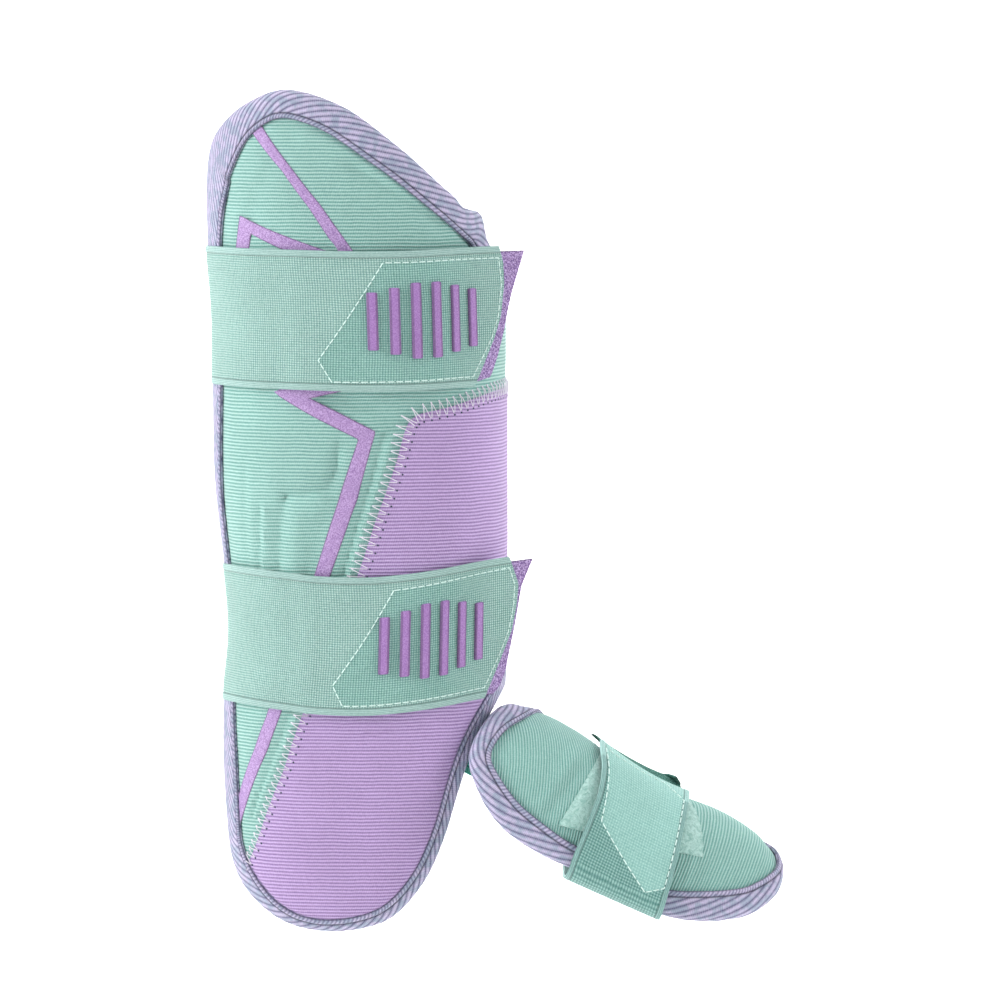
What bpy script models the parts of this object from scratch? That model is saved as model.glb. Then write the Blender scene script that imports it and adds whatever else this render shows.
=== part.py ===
"""Batter's leg guard for the right leg: a padded shin guard with a foot guard linked to it.

Units are metres and +Z is up. The origin lies on the leg's axis, midway between the two straps. +X is
the front of the leg, -Y its outer side. The shin guard is laid out on the leg's surface: a place on it
is its angle round the leg, in degrees from the front over the outer side, and its height above the
lowest tip. The foot guard is laid out the same way, along and around the instep. Depths count from the
pads' outer faces, outwards.
"""

import math
from collections import namedtuple

import bmesh
import bpy
import numpy as np

# Driving dimensions
SHELL_HEIGHT = 0.394
LEG_HALF_DEPTH = 0.0685
LEG_HALF_WIDTH = 0.058
SECTION_SQUARENESS = 0.03
ORIGIN_ABOVE_TIP = 0.2127
PAD_WALL = 0.008
PAD_EDGE_ROLL = 0.008
PAD_ROLL_MARGIN = 0.024

TAPE_WIDTH = 0.013
TAPE_THICKNESS = 0.0012
TAPE_CLEARANCE = 0.0007
EDGE_IN_TAPE = 0.0068

PANEL_THICKNESS = 0.0009
FILM_THICKNESS = 0.0005
STRIPE_WIDTH = 0.008
LAYER_GAP = 0.0004
PANEL_GAP = 0.0006
EDGE_CLOSENESS = 0.55
STRIPE_CUTS = 8

STRAP_WIDTH = 0.063
STRAP_THICKNESS = 0.0015
PATCH_THICKNESS = 0.001
STRAP_FREE_ANGLE = 56.0
STRAP_FIXED_ANGLE = 310.0
STRAP_RISE_LENGTH = 0.012
STRAP_DIP = 0.0055
STRAP_DIP_ANGLES = (166.0, 192.0, 262.0, 286.0)

RIB_COUNT = 6
RIB_WIDTH = 0.0042
RIB_HEIGHT = 0.034
RIB_PITCH = 0.0085
RIB_THICKNESS = 0.0013

FOOT_LENGTH = 0.1573
FOOT_HALF_WIDTH = 0.038
FOOT_DEPTH = 0.0575
FOOT_CREST_RISE = 0.0062
FOOT_STRAP_CREST = 0.25
FOOT_PAD_WALL = 0.006
FOOT_EDGE_ROLL = 0.002
FOOT_HEEL_OVERLAP = 0.0124
FOOT_SLOPE = math.radians(30.95)
FOOT_HEEL = np.array((0.0754, -0.020, -0.1058))

FOOT_STRAP_WIDTH = 0.0455
FOOT_STRAP_THICKNESS = 0.0016
FOOT_STRAP_SLOPE = math.radians(15.5)
FOOT_STRAP_PLACE = 0.0615
FOOT_SOLE_CORNER = 0.009
FOOT_SOLE_DROP = 0.004
FOOT_SOLE_TAPER = 0.15
FOOT_TAB_FLARE = 0.003
FOOT_SOLE_ANGLE = 75.0

LINK_THICKNESS = 0.0015
LINK_DROP = 0.034
LINK_SINK = 0.010

# The straps: middle height as a share of SHELL_HEIGHT, rise towards the front in degrees, and how far
# behind the point where the strap leaves the leg the ribs' middle lies, as a share of STRAP_WIDTH
StrapPlace = namedtuple("StrapPlace", "height slope ribs")
STRAP_PLACES = {
    "upper": StrapPlace(height=0.729, slope=0.6, ribs=0.16),
    "lower": StrapPlace(height=0.363, slope=2.2, ribs=0.13),
}

# Leg sections: height as a share of SHELL_HEIGHT, reach as shares of the half depth and half width
Section = namedtuple("Section", "height front rear width")
LEG_SECTIONS = (
    Section(0.00, 0.86, 0.84, 0.72),
    Section(0.07, 0.93, 0.88, 0.80),
    Section(0.15, 0.95, 0.88, 0.845),
    Section(0.28, 0.98, 0.885, 0.88),
    Section(0.36, 0.99, 0.865, 0.90),
    Section(0.45, 1.00, 0.895, 0.925),
    Section(0.53, 1.00, 0.935, 0.948),
    Section(0.64, 1.00, 0.95, 0.965),
    Section(0.73, 1.00, 0.95, 0.98),
    Section(0.81, 0.975, 0.985, 0.99),
    Section(0.88, 0.94, 1.00, 1.00),
    Section(1.00, 0.88, 0.98, 1.00),
)

# How far the pad's edge rolls in, as a share of PAD_EDGE_ROLL, at each height
EdgeRoll = namedtuple("EdgeRoll", "height share")
EDGE_ROLLS = (
    EdgeRoll(0.00, 1.00),
    EdgeRoll(0.08, 0.85),
    EdgeRoll(0.20, 0.40),
    EdgeRoll(0.35, 0.18),
    EdgeRoll(0.70, 0.12),
    EdgeRoll(1.00, 0.12),
)

# Places on the shin guard: angle round the leg, height as a share of SHELL_HEIGHT
Place = namedtuple("Place", "around height")
TOP_EDGE = (
    Place(166.0, 0.887),
    Place(160.0, 0.932),
    Place(147.0, 0.958),
    Place(131.0, 0.980),
    Place(113.0, 0.994),
    Place(92.0, 0.974),
    Place(71.0, 0.925),
    Place(53.0, 0.881),
    Place(41.0, 0.858),
    Place(32.0, 0.841),
    Place(24.0, 0.812),
    Place(4.0, 0.801),
    Place(-20.0, 0.796),
    Place(-46.0, 0.779),
    Place(-61.0, 0.730),
)
INNER_EDGE = (
    Place(-66.0, 0.647),
    Place(-68.0, 0.539),
    Place(-68.0, 0.430),
    Place(-61.0, 0.330),
)
BOTTOM_EDGE = (
    Place(-42.0, 0.280),
    Place(-12.0, 0.287),
    Place(13.0, 0.289),
    Place(31.0, 0.259),
    Place(41.0, 0.221),
    Place(48.5, 0.178),
    Place(55.0, 0.128),
    Place(64.0, 0.067),
    Place(76.0, 0.025),
    Place(91.0, 0.010),
    Place(108.0, 0.009),
    Place(124.0, 0.019),
    Place(140.0, 0.041),
    Place(152.0, 0.066),
    Place(162.0, 0.100),
    Place(168.0, 0.155),
)
REAR_EDGE = (
    Place(169.5, 0.289),
    Place(171.0, 0.470),
    Place(171.0, 0.637),
    Place(169.5, 0.784),
)

PANEL_SEAM = (
    Place(-58.0, 0.607),
    Place(-30.0, 0.639),
    Place(9.0, 0.645),
    Place(38.0, 0.636),
    Place(53.0, 0.631),
    Place(65.0, 0.621),
    Place(72.0, 0.604),
    Place(76.0, 0.576),
    Place(80.0, 0.542),
    Place(84.0, 0.507),
    Place(89.0, 0.468),
    Place(94.0, 0.434),
    Place(115.0, 0.264),
    Place(121.5, 0.219),
    Place(130.0, 0.170),
    Place(138.0, 0.121),
    Place(142.0, 0.098),
)
PANEL_CORNER_PLACE = 6

TOP_STRIPE = (
    Place(124.5, 0.936),
    Place(94.0, 0.808),
    Place(81.0, 0.749),
)
ZIGZAG_STRIPE = (
    Place(126.0, 0.648),
    Place(87.4, 0.595),
    Place(105.3, 0.434),
    Place(129.3, 0.266),
    Place(146.0, 0.162),
)
CHEVRON_STRIPE = (
    Place(141.0, 0.749),
    Place(134.5, 0.839),
    Place(101.0, 0.803),
)

# Strap ends, as shares of STRAP_WIDTH: distance forward of the point where the strap leaves the leg, and
# upwards from the middle
EndPlace = namedtuple("EndPlace", "forward across")
STRAP_END = (
    EndPlace(0.29, -0.50),
    EndPlace(0.42, -0.18),
    EndPlace(0.47, 0.22),
    EndPlace(0.44, 0.50),
)
TAB_END = (
    EndPlace(0.36, -0.50),
    EndPlace(0.47, -0.18),
    EndPlace(0.53, 0.22),
    EndPlace(0.63, 0.50),
)
PATCH_REAR = (
    EndPlace(-0.83, -0.50),
    EndPlace(-0.92, -0.38),
    EndPlace(-0.45, 0.50),
)

# The instep's crest and half width along the foot guard, as shares of length, FOOT_CREST_RISE and width
FootSection = namedtuple("FootSection", "along crest width")
FOOT_SECTIONS = (
    FootSection(0.00, -0.15, 0.98),
    FootSection(0.08, 0.00, 1.00),
    FootSection(0.14, 0.40, 1.00),
    FootSection(0.23, 0.57, 1.00),
    FootSection(0.31, 0.50, 1.00),
    FootSection(0.38, FOOT_STRAP_CREST, 1.00),
    FootSection(0.58, FOOT_STRAP_CREST, 1.00),
    FootSection(0.65, 0.60, 1.00),
    FootSection(0.72, 0.92, 0.98),
    FootSection(0.81, 1.00, 0.95),
    FootSection(0.91, 0.68, 0.88),
    FootSection(0.96, 0.28, 0.84),
    FootSection(1.00, -0.25, 0.80),
)

# The foot guard's outline: share of FOOT_LENGTH, angle round the instep towards the outer side
FootPlace = namedtuple("FootPlace", "along around")
FOOT_TOE_EDGE = (
    FootPlace(0.955, 56.0),
    FootPlace(0.996, 38.0),
    FootPlace(1.000, 19.0),
    FootPlace(0.975, 0.0),
    FootPlace(0.925, -20.0),
)
FOOT_FAR_EDGE = (
    FootPlace(0.80, -36.0),
    FootPlace(0.60, -43.0),
    FootPlace(0.40, -44.0),
    FootPlace(0.22, -40.0),
)
FOOT_HEEL_EDGE = (
    FootPlace(0.10, -26.0),
    FootPlace(0.035, 0.0),
    FootPlace(0.003, 30.0),
    FootPlace(0.012, 58.0),
    FootPlace(0.085, 71.0),
)
FOOT_NEAR_EDGE = (
    FootPlace(0.19, 80.0),
    FootPlace(0.32, 82.0),
    FootPlace(0.45, 80.0),
    FootPlace(0.60, 79.0),
    FootPlace(0.74, 77.0),
    FootPlace(0.86, 69.0),
)
FOOT_PATCH_CORNERS = (
    FootPlace(0.345, 8.0),
    FootPlace(0.625, 4.0),
    FootPlace(0.745, 45.0),
    FootPlace(0.335, 66.0),
)
# The link's two sewn edges: on the inside of the shin pad and on the inside of the foot pad
LINK_SHIN_EDGE = (Place(27.0, 0.312), Place(45.0, 0.262))
LINK_FOOT_EDGE = (FootPlace(0.21, 28.0), FootPlace(0.21, 62.0))

FOOT_STRAP_FREE_ANGLE = 3.0
FOOT_STRAP_SEWN_ANGLE = -30.0
FOOT_TAB_ANGLE = -9.0
FOOT_HOOK_REAR_ANGLE = 60.0

Finish = namedtuple("Finish", "colour roughness")
FINISHES = {
    "mint_cloth": Finish((0.40, 0.72, 0.62), 0.85),
    "lilac_cloth": Finish((0.60, 0.45, 0.75), 0.85),
    "mint_elastic": Finish((0.36, 0.70, 0.60), 0.8),
    "lilac_tape": Finish((0.56, 0.54, 0.72), 0.8),
    "purple_film": Finish((0.47, 0.30, 0.62), 0.45),
    "purple_hook": Finish((0.33, 0.17, 0.48), 0.9),
    "teal_hook": Finish((0.10, 0.38, 0.32), 0.9),
    "mint_loop": Finish((0.42, 0.74, 0.64), 0.95),
}


def clear_scene():
    """Remove whatever the open file holds."""
    for item in list(bpy.data.objects):
        bpy.data.objects.remove(item, do_unlink=True)


def make_material(name):
    """A plain material from the table of finishes."""
    material = bpy.data.materials.new(name)
    material.use_nodes = True
    shader = material.node_tree.nodes["Principled BSDF"]
    shader.inputs["Base Color"].default_value = (*FINISHES[name].colour, 1.0)
    shader.inputs["Roughness"].default_value = FINISHES[name].roughness
    shader.inputs["Metallic"].default_value = 0.0
    return material


def read_table(rows, at):
    """The columns after the first, read at values of the first along a smooth curve."""
    table = np.array(rows, float)
    keys, columns = table[:, 0], table[:, 1:]
    at = np.clip(np.asarray(at, float), keys[0], keys[-1])
    slopes = np.gradient(columns, keys, axis=0)
    row = np.clip(np.searchsorted(keys, at, side="right") - 1, 0, len(keys) - 2)
    span = (keys[row + 1] - keys[row])[..., None]
    t = (at - keys[row])[..., None] / span
    start, end = columns[row], columns[row + 1]
    rise = (2 * t**3 - 3 * t**2 + 1) * start + (3 * t**2 - 2 * t**3) * end
    return rise + span * ((t**3 - 2 * t**2 + t) * slopes[row] + (t**3 - t**2) * slopes[row + 1])


def smooth_line(points, count, closed=False):
    """A smooth line of count points through the given ones; a closed one ends where it began."""
    line = np.array(points, float)
    if closed:
        extra = 3
        line = np.vstack((line[-extra:], line, line[: extra + 1]))
    steps = np.linalg.norm(np.diff(line, axis=0), axis=1)
    run = np.concatenate(((0.0,), np.cumsum(np.sqrt(steps))))
    first, last = (run[extra], run[-1 - extra]) if closed else (run[0], run[-1])
    return read_table(np.column_stack((run, line)), np.linspace(first, last, count))


def even_line(line, count):
    """count points at even steps along a line of many points."""
    steps = np.linalg.norm(np.diff(line, axis=0), axis=1)
    run = np.concatenate(((0.0,), np.cumsum(steps)))
    at = np.linspace(0.0, run[-1], count)
    return np.column_stack([np.interp(at, run, column) for column in line.T])


class Shin:
    """The leg's surface, and the shin guard's places on it, in metres.

    A place is (angle in metres of mean girth, height), so that the flat pattern has true sizes.
    """

    per_degree = math.radians(1.0) * (LEG_HALF_DEPTH + LEG_HALF_WIDTH) / 2
    outline = None

    @classmethod
    def flat(cls, places):
        """Flat pattern points of a table of places."""
        return np.array([(p.around * cls.per_degree, p.height * SHELL_HEIGHT) for p in places])

    @classmethod
    def bare(cls, spot):
        """Points of the leg's own surface."""
        angle = np.radians(spot[..., 0] / cls.per_degree)
        shares = read_table(LEG_SECTIONS, spot[..., 1] / SHELL_HEIGHT)
        front = shares[..., 0] * LEG_HALF_DEPTH
        rear = shares[..., 1] * LEG_HALF_DEPTH
        width = shares[..., 2] * LEG_HALF_WIDTH
        square = SECTION_SQUARENESS
        x = (front - rear) / 2 + (front + rear) / 2 * (
            (1 + square) * np.cos(angle) - square * np.cos(3 * angle)
        )
        y = -width * ((1 + square) * np.sin(angle) + square * np.sin(3 * angle))
        return np.stack((x, y, spot[..., 1] - ORIGIN_ABOVE_TIP), axis=-1)

    @classmethod
    def rolled(cls, spot):
        """Points of the pad's outer face, whose margin rolls in towards the edge."""
        share = np.clip(1 - edge_distance(spot, cls.outline) / PAD_ROLL_MARGIN, 0.0, 1.0) ** 2
        roll = read_table(EDGE_ROLLS, spot[..., 1] / SHELL_HEIGHT)[..., 0] * PAD_EDGE_ROLL
        return cls.bare(spot) - (share * roll)[..., None] * facing(cls.bare, spot)

    @classmethod
    def at(cls, spot, depth):
        """Points at a depth from the pad's outer face."""
        spot = np.asarray(spot, float)
        return cls.rolled(spot) + np.asarray(depth)[..., None] * facing(cls.rolled, spot)


class Foot:
    """The instep's surface and the foot guard's places on it; a place is (along, angle in metres)."""

    per_degree = math.radians(1.0) * (FOOT_HALF_WIDTH + FOOT_DEPTH) / 2
    forward = np.array((math.cos(FOOT_SLOPE), 0.0, -math.sin(FOOT_SLOPE)))
    down = np.array((-math.sin(FOOT_SLOPE), 0.0, -math.cos(FOOT_SLOPE)))
    side = np.array((0.0, -1.0, 0.0))
    outline = None

    @classmethod
    def flat(cls, places):
        """Flat pattern points of a table of places."""
        return np.array([(p.along * FOOT_LENGTH, p.around * cls.per_degree) for p in places])

    @classmethod
    def bare(cls, spot):
        """Points of the instep's own surface."""
        angle = np.radians(spot[..., 1] / cls.per_degree)
        shares = read_table(FOOT_SECTIONS, spot[..., 0] / FOOT_LENGTH)
        sink = FOOT_DEPTH * (1 - np.cos(angle)) - shares[..., 0] * FOOT_CREST_RISE * np.cos(angle) ** 2
        reach = shares[..., 1] * FOOT_HALF_WIDTH * np.sin(angle)
        along = spot[..., 0] - FOOT_HEEL_OVERLAP
        parts = (along[..., None] * cls.forward, sink[..., None] * cls.down, reach[..., None] * cls.side)
        return FOOT_HEEL + sum(parts)

    @classmethod
    def rolled(cls, spot):
        """Points of the pad's outer face, whose margin rolls in towards the edge."""
        share = np.clip(1 - edge_distance(spot, cls.outline) / PAD_ROLL_MARGIN, 0.0, 1.0) ** 2
        return cls.bare(spot) - (share * FOOT_EDGE_ROLL)[..., None] * facing(cls.bare, spot)

    @classmethod
    def at(cls, spot, depth):
        """Points at a depth from the pad's outer face."""
        spot = np.asarray(spot, float)
        return cls.rolled(spot) + np.asarray(depth)[..., None] * facing(cls.rolled, spot)


def facing(surface, spot):
    """Unit normals of a surface of places, pointing away from the limb."""
    step = 0.0005
    first, second = np.array((step, 0.0)), np.array((0.0, step))
    along = surface(spot + first) - surface(spot - first)
    across = surface(spot + second) - surface(spot - second)
    normal = np.cross(across, along)
    return normal / np.linalg.norm(normal, axis=-1, keepdims=True)


def edge_distance(spot, outline):
    """Distance of places from an outline in the flat pattern."""
    start, reach = outline[:-1], np.diff(outline, axis=0)
    away = spot[..., None, :] - start
    share = np.clip((away * reach).sum(-1) / (reach * reach).sum(-1), 0.0, 1.0)
    return np.linalg.norm(away - share[..., None] * reach, axis=-1).min(-1)


def inset(line, distance):
    """A closed anticlockwise line of places moved inwards in the flat pattern."""
    run = np.roll(line[:-1], -1, axis=0) - np.roll(line[:-1], 1, axis=0)
    run /= np.linalg.norm(run, axis=1, keepdims=True)
    moved = line[:-1] + distance * np.column_stack((-run[:, 1], run[:, 0]))
    return np.vstack((moved, moved[:1]))


def nearest(line, spot):
    """Number of the point of a line that lies nearest to a place."""
    return int(np.argmin(np.linalg.norm(line - spot, axis=1)))


def stretch(line, start, end):
    """The part of a closed line from one point number forward to another."""
    if end <= start:
        return np.vstack((line[start:-1], line[: end + 1]))
    return line[start : end + 1]


def closer_at_edges(share):
    """Even shares from 0 to 1 drawn closer together near both ends."""
    return share - EDGE_CLOSENESS * np.sin(2 * np.pi * share) / (2 * np.pi)


def patch_spots(low, high, left, right):
    """A blend of four sides: low and high run in the first direction, left and right in the second."""

    def spots(u, v):
        def read(side, at):
            run = np.linspace(0.0, 1.0, len(side))
            return np.stack([np.interp(at, run, column) for column in side.T], axis=-1)

        a, b = u[..., None], v[..., None]
        ruled = (1 - b) * read(low, u) + b * read(high, u) + (1 - a) * read(left, v) + a * read(right, v)
        corners = (
            (1 - a) * (1 - b) * low[0] + a * (1 - b) * low[-1] + (1 - a) * b * high[0] + a * b * high[-1]
        )
        return ruled - corners

    return spots


def grid_object(name, columns, rows, place, finish, wall=0.0, closed=False):
    """An object from a grid whose corners go where place(u, v) puts them, given a wall if it has one."""
    shape = bmesh.new()
    bmesh.ops.create_grid(shape, x_segments=columns, y_segments=rows, size=1.0)
    corners = np.array([corner.co[:2] for corner in shape.verts])
    spots = place((corners[:, 0] + 1) / 2, (corners[:, 1] + 1) / 2)
    for corner, spot in zip(shape.verts, spots):
        corner.co = spot
    if closed:
        bmesh.ops.remove_doubles(shape, verts=shape.verts, dist=0.00002)
        bmesh.ops.recalc_face_normals(shape, faces=shape.faces)
    mesh = bpy.data.meshes.new(name)
    shape.to_mesh(mesh)
    shape.free()
    mesh.materials.append(MATERIALS[finish])
    mesh.shade_smooth()
    item = bpy.data.objects.new(name, mesh)
    COLLECTION.objects.link(item)
    if wall:
        solid = item.modifiers.new("wall", "SOLIDIFY")
        solid.thickness = wall
        solid.offset = 0.0
    return item


def sweep_place(limb, line, section):
    """Maps a grid round a closed line of places, with a closed section of (inset, depth) points."""
    rings = [np.asarray(inset(line, distance)) for distance, _ in section]
    depths = np.array([depth for _, depth in section])

    def place(u, v):
        station = np.rint(u * (len(line) - 1)).astype(int) % (len(line) - 1)
        point = np.rint(v * len(section)).astype(int) % len(section)
        spots = np.array([rings[p][s] for p, s in zip(point, station)])
        return limb.at(spots, depths[point])

    return place


def tape_section(wall):
    """Section of a tape folded over a pad's edge: a channel open towards the pad."""
    outer = wall / 2 + TAPE_CLEARANCE + TAPE_THICKNESS
    inner = wall / 2 + TAPE_CLEARANCE
    middle = -wall / 2
    angles = np.radians((60, 0, -60))
    points = [(TAPE_WIDTH, middle + outer), (outer, middle + outer)]
    points += [(outer - outer * math.cos(a), middle + outer * math.sin(a)) for a in angles]
    points += [(outer, middle - outer), (TAPE_WIDTH, middle - outer)]
    points += [(TAPE_WIDTH, middle - inner), (outer, middle - inner), (outer - inner, middle)]
    points += [(outer, middle + inner), (TAPE_WIDTH, middle + inner)]
    return points


def build_shin():
    """The shin pad, its front panel and its binding."""
    count = 86
    dense = smooth_line(Shin.flat(TOP_EDGE + INNER_EDGE + BOTTOM_EDGE + REAR_EDGE), 800, closed=True)
    Shin.outline = dense[::8]
    edge = inset(dense, EDGE_IN_TAPE)
    corners = [nearest(dense, Shin.flat(row)[at]) for row, at in
               ((TOP_EDGE, 0), (TOP_EDGE, -1), (INNER_EDGE, -1), (BOTTOM_EDGE, -1))]
    rear_top, inner_top, inner_low, rear_low = corners
    top = even_line(stretch(edge, rear_top, inner_top), 120)
    inner = even_line(stretch(edge, inner_top, inner_low), 120)
    low = even_line(stretch(edge, inner_low, rear_low), 120)
    rear = even_line(stretch(edge, rear_low, rear_top), 120)
    spots = patch_spots(low[::-1], top, rear, inner[::-1])

    def pad_place(u, v):
        return Shin.at(spots(closer_at_edges(u), closer_at_edges(v)), np.full(u.shape, -PAD_WALL / 2))

    grid_object("shin_pad", 28, 23, pad_place, "mint_cloth", wall=PAD_WALL)

    line = even_line(dense, count + 1)
    section = tape_section(PAD_WALL)
    grid_object(
        "shin_binding", count, len(section), sweep_place(Shin, line, section), "lilac_tape", closed=True
    )
    build_front_panel(dense)


def build_front_panel(dense):
    """The ribbed panel over the front and the ankle end, from its zigzag seam to the binding."""
    edge = inset(dense, TAPE_WIDTH + 3 * LAYER_GAP)
    seam = Shin.flat(PANEL_SEAM)
    inner_end, rear_end = nearest(edge, seam[0]), nearest(edge, seam[-1])
    inner_low = nearest(dense, Shin.flat(INNER_EDGE)[-1])
    seam[0], seam[-1] = edge[inner_end], edge[rear_end]
    top = even_line(seam[: PANEL_CORNER_PLACE + 1][::-1], 60)
    left = even_line(seam[PANEL_CORNER_PLACE:][::-1], 60)
    low = even_line(stretch(edge, inner_low, rear_end)[::-1], 60)
    right = even_line(stretch(edge, inner_end, inner_low)[::-1], 60)
    spots = patch_spots(low, top, left, right)
    depth = PANEL_GAP + PANEL_THICKNESS / 2

    def place(u, v):
        return Shin.at(spots(closer_at_edges(u), closer_at_edges(v)), np.full(u.shape, depth))

    grid_object("front_panel", 24, 14, place, "lilac_cloth", wall=PANEL_THICKNESS)


def stripe_sides(points, width):
    """Left and right lines of a ribbon with mitred corners along a line of places."""
    run = np.diff(points, axis=0)
    run /= np.linalg.norm(run, axis=1, keepdims=True)
    normals = np.column_stack((-run[:, 1], run[:, 0]))
    joints = [normals[0]]
    for before, after in zip(normals[:-1], normals[1:]):
        mitre = before + after
        joints.append(mitre / np.dot(mitre, after))
    joints.append(normals[-1])
    offsets = np.array(joints) * width / 2
    return points - offsets, points + offsets


def build_stripe(name, places):
    """A thin film stripe along a line of places."""
    left, right = stripe_sides(Shin.flat(places), STRIPE_WIDTH)
    cuts = STRIPE_CUTS
    count = (len(places) - 1) * cuts
    depth = LAYER_GAP + FILM_THICKNESS / 2

    def place(u, v):
        run = np.linspace(0.0, 1.0, len(places))
        sides = [np.stack([np.interp(u, run, column) for column in side.T], axis=-1)
                 for side in (left, right)]
        spots = sides[0] * (1 - v[..., None]) + sides[1] * v[..., None]
        return Shin.at(spots, np.full(u.shape, depth))

    grid_object(name, count, 1, place, "purple_film", wall=FILM_THICKNESS)


def eased(share):
    """A share held between 0 and 1 that starts and ends gently."""
    held = np.clip(share, 0.0, 1.0)
    return held * held * (3 - 2 * held)


class Strap:
    """A strap round the calf; a place is (distance back from where it leaves the leg, share across)."""

    inner_depth = TAPE_CLEARANCE + TAPE_THICKNESS + LAYER_GAP
    patch_depth = PANEL_GAP + PANEL_THICKNESS + LAYER_GAP
    over_patch = patch_depth + PATCH_THICKNESS + LAYER_GAP

    def __init__(self, place):
        self.middle = place.height * SHELL_HEIGHT
        self.ribs = place.ribs * STRAP_WIDTH
        self.slope = math.tan(math.radians(place.slope))

    def at(self, back, across, depth):
        """Points of the strap; in front of its free angle it runs straight on."""
        free = STRAP_FREE_ANGLE * Shin.per_degree
        on_leg = np.maximum(back, 0.0)
        level = self.middle - self.slope * back + across * STRAP_WIDTH
        spots = np.stack((free + on_leg, level), axis=-1)
        ahead = Shin.bare(spots) - Shin.bare(spots + np.array((0.0005, 0.0)))
        ahead /= np.linalg.norm(ahead, axis=-1, keepdims=True)
        out = facing(Shin.bare, spots)
        return Shin.bare(spots) + np.minimum(back, 0.0)[..., None] * -ahead + depth[..., None] * out

    def lift(self, back):
        """Depth of the strap's inner face: it rises over the hook patch and dips behind the calf."""
        rear = -PATCH_REAR[1].forward * STRAP_WIDTH
        rise = eased((rear + STRAP_RISE_LENGTH - back) / STRAP_RISE_LENGTH)
        angle = STRAP_FREE_ANGLE + back / Shin.per_degree
        dip = eased((angle - STRAP_DIP_ANGLES[0]) / (STRAP_DIP_ANGLES[1] - STRAP_DIP_ANGLES[0]))
        dip *= eased((STRAP_DIP_ANGLES[3] - angle) / (STRAP_DIP_ANGLES[3] - STRAP_DIP_ANGLES[2]))
        return self.inner_depth + (self.over_patch - self.inner_depth) * rise - STRAP_DIP * dip


def end_line(rows, across):
    """How far forward an end reaches at each share across."""
    forward = np.interp(across, [row.across for row in rows], [row.forward for row in rows])
    return forward * STRAP_WIDTH


def build_strap(which):
    """One calf strap, its hook patch with the tab, and the ribs on it."""
    strap = Strap(STRAP_PLACES[which])
    girth = (STRAP_FIXED_ANGLE - STRAP_FREE_ANGLE) * Shin.per_degree

    def strap_place(u, v):
        front = -end_line(STRAP_END, v - 0.5)
        back = front + u * (girth - front)
        return strap.at(back, v - 0.5, strap.lift(back) + STRAP_THICKNESS / 2)

    grid_object(f"{which}_strap", 38, 3, strap_place, "mint_elastic", wall=STRAP_THICKNESS)

    def patch_place(u, v):
        across = (v - 0.5) * 0.97
        front = -end_line(TAB_END, across)
        rear = -end_line(PATCH_REAR, across)
        back = front + u * (rear - front)
        return strap.at(back, across, np.full(u.shape, strap.patch_depth + PATCH_THICKNESS / 2))

    grid_object(f"{which}_hook_patch", 10, 3, patch_place, "purple_hook", wall=PATCH_THICKNESS)

    middle = (RIB_COUNT - 1) / 2
    for number in range(RIB_COUNT):
        centre = strap.ribs - (number - middle) * RIB_PITCH

        def rib_place(u, v, centre=centre):
            back = centre + (u - 0.5) * RIB_WIDTH
            across = (v - 0.5) * RIB_HEIGHT / STRAP_WIDTH
            depth = strap.lift(back) + STRAP_THICKNESS + LAYER_GAP + RIB_THICKNESS / 2
            return strap.at(back, across, depth)

        name = f"{which}_grip_rib_{number + 1}"
        grid_object(name, 1, 1, rib_place, "purple_film", wall=RIB_THICKNESS)


def build_foot():
    """The foot pad, its binding and its loop patch."""
    rows = FOOT_TOE_EDGE + FOOT_FAR_EDGE + FOOT_HEEL_EDGE + FOOT_NEAR_EDGE
    dense = smooth_line(Foot.flat(rows)[::-1], 400, closed=True)
    Foot.outline = dense[::8]
    edge = inset(dense, EDGE_IN_TAPE)
    toe_near, toe_far, heel_far, heel_near = [
        nearest(dense, Foot.flat(row)[at])
        for row, at in ((FOOT_TOE_EDGE, 0), (FOOT_TOE_EDGE, -1), (FOOT_HEEL_EDGE, 0), (FOOT_HEEL_EDGE, -1))
    ]
    near = even_line(stretch(edge, toe_near, heel_near)[::-1], 60)
    heel = even_line(stretch(edge, heel_near, heel_far)[::-1], 60)
    far = even_line(stretch(edge, heel_far, toe_far), 60)
    toe = even_line(stretch(edge, toe_far, toe_near), 60)
    spots = patch_spots(far, near, heel, toe)

    def pad_place(u, v):
        return Foot.at(spots(u, v), np.full(u.shape, -FOOT_PAD_WALL / 2))

    grid_object("foot_pad", 16, 14, pad_place, "mint_cloth", wall=FOOT_PAD_WALL)
    count = 50
    section = tape_section(FOOT_PAD_WALL)
    place = sweep_place(Foot, even_line(dense, count + 1), section)
    grid_object("foot_binding", count, len(section), place, "lilac_tape", closed=True)

    first, second, third, fourth = Foot.flat(FOOT_PATCH_CORNERS)
    patch = patch_spots(np.array((first, second)), np.array((fourth, third)),
                        np.array((first, fourth)), np.array((second, third)))

    def patch_place(u, v):
        return Foot.at(patch(u, v), np.full(u.shape, LAYER_GAP + PATCH_THICKNESS / 2))

    grid_object("foot_loop_patch", 6, 7, patch_place, "mint_loop", wall=PATCH_THICKNESS)


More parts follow.
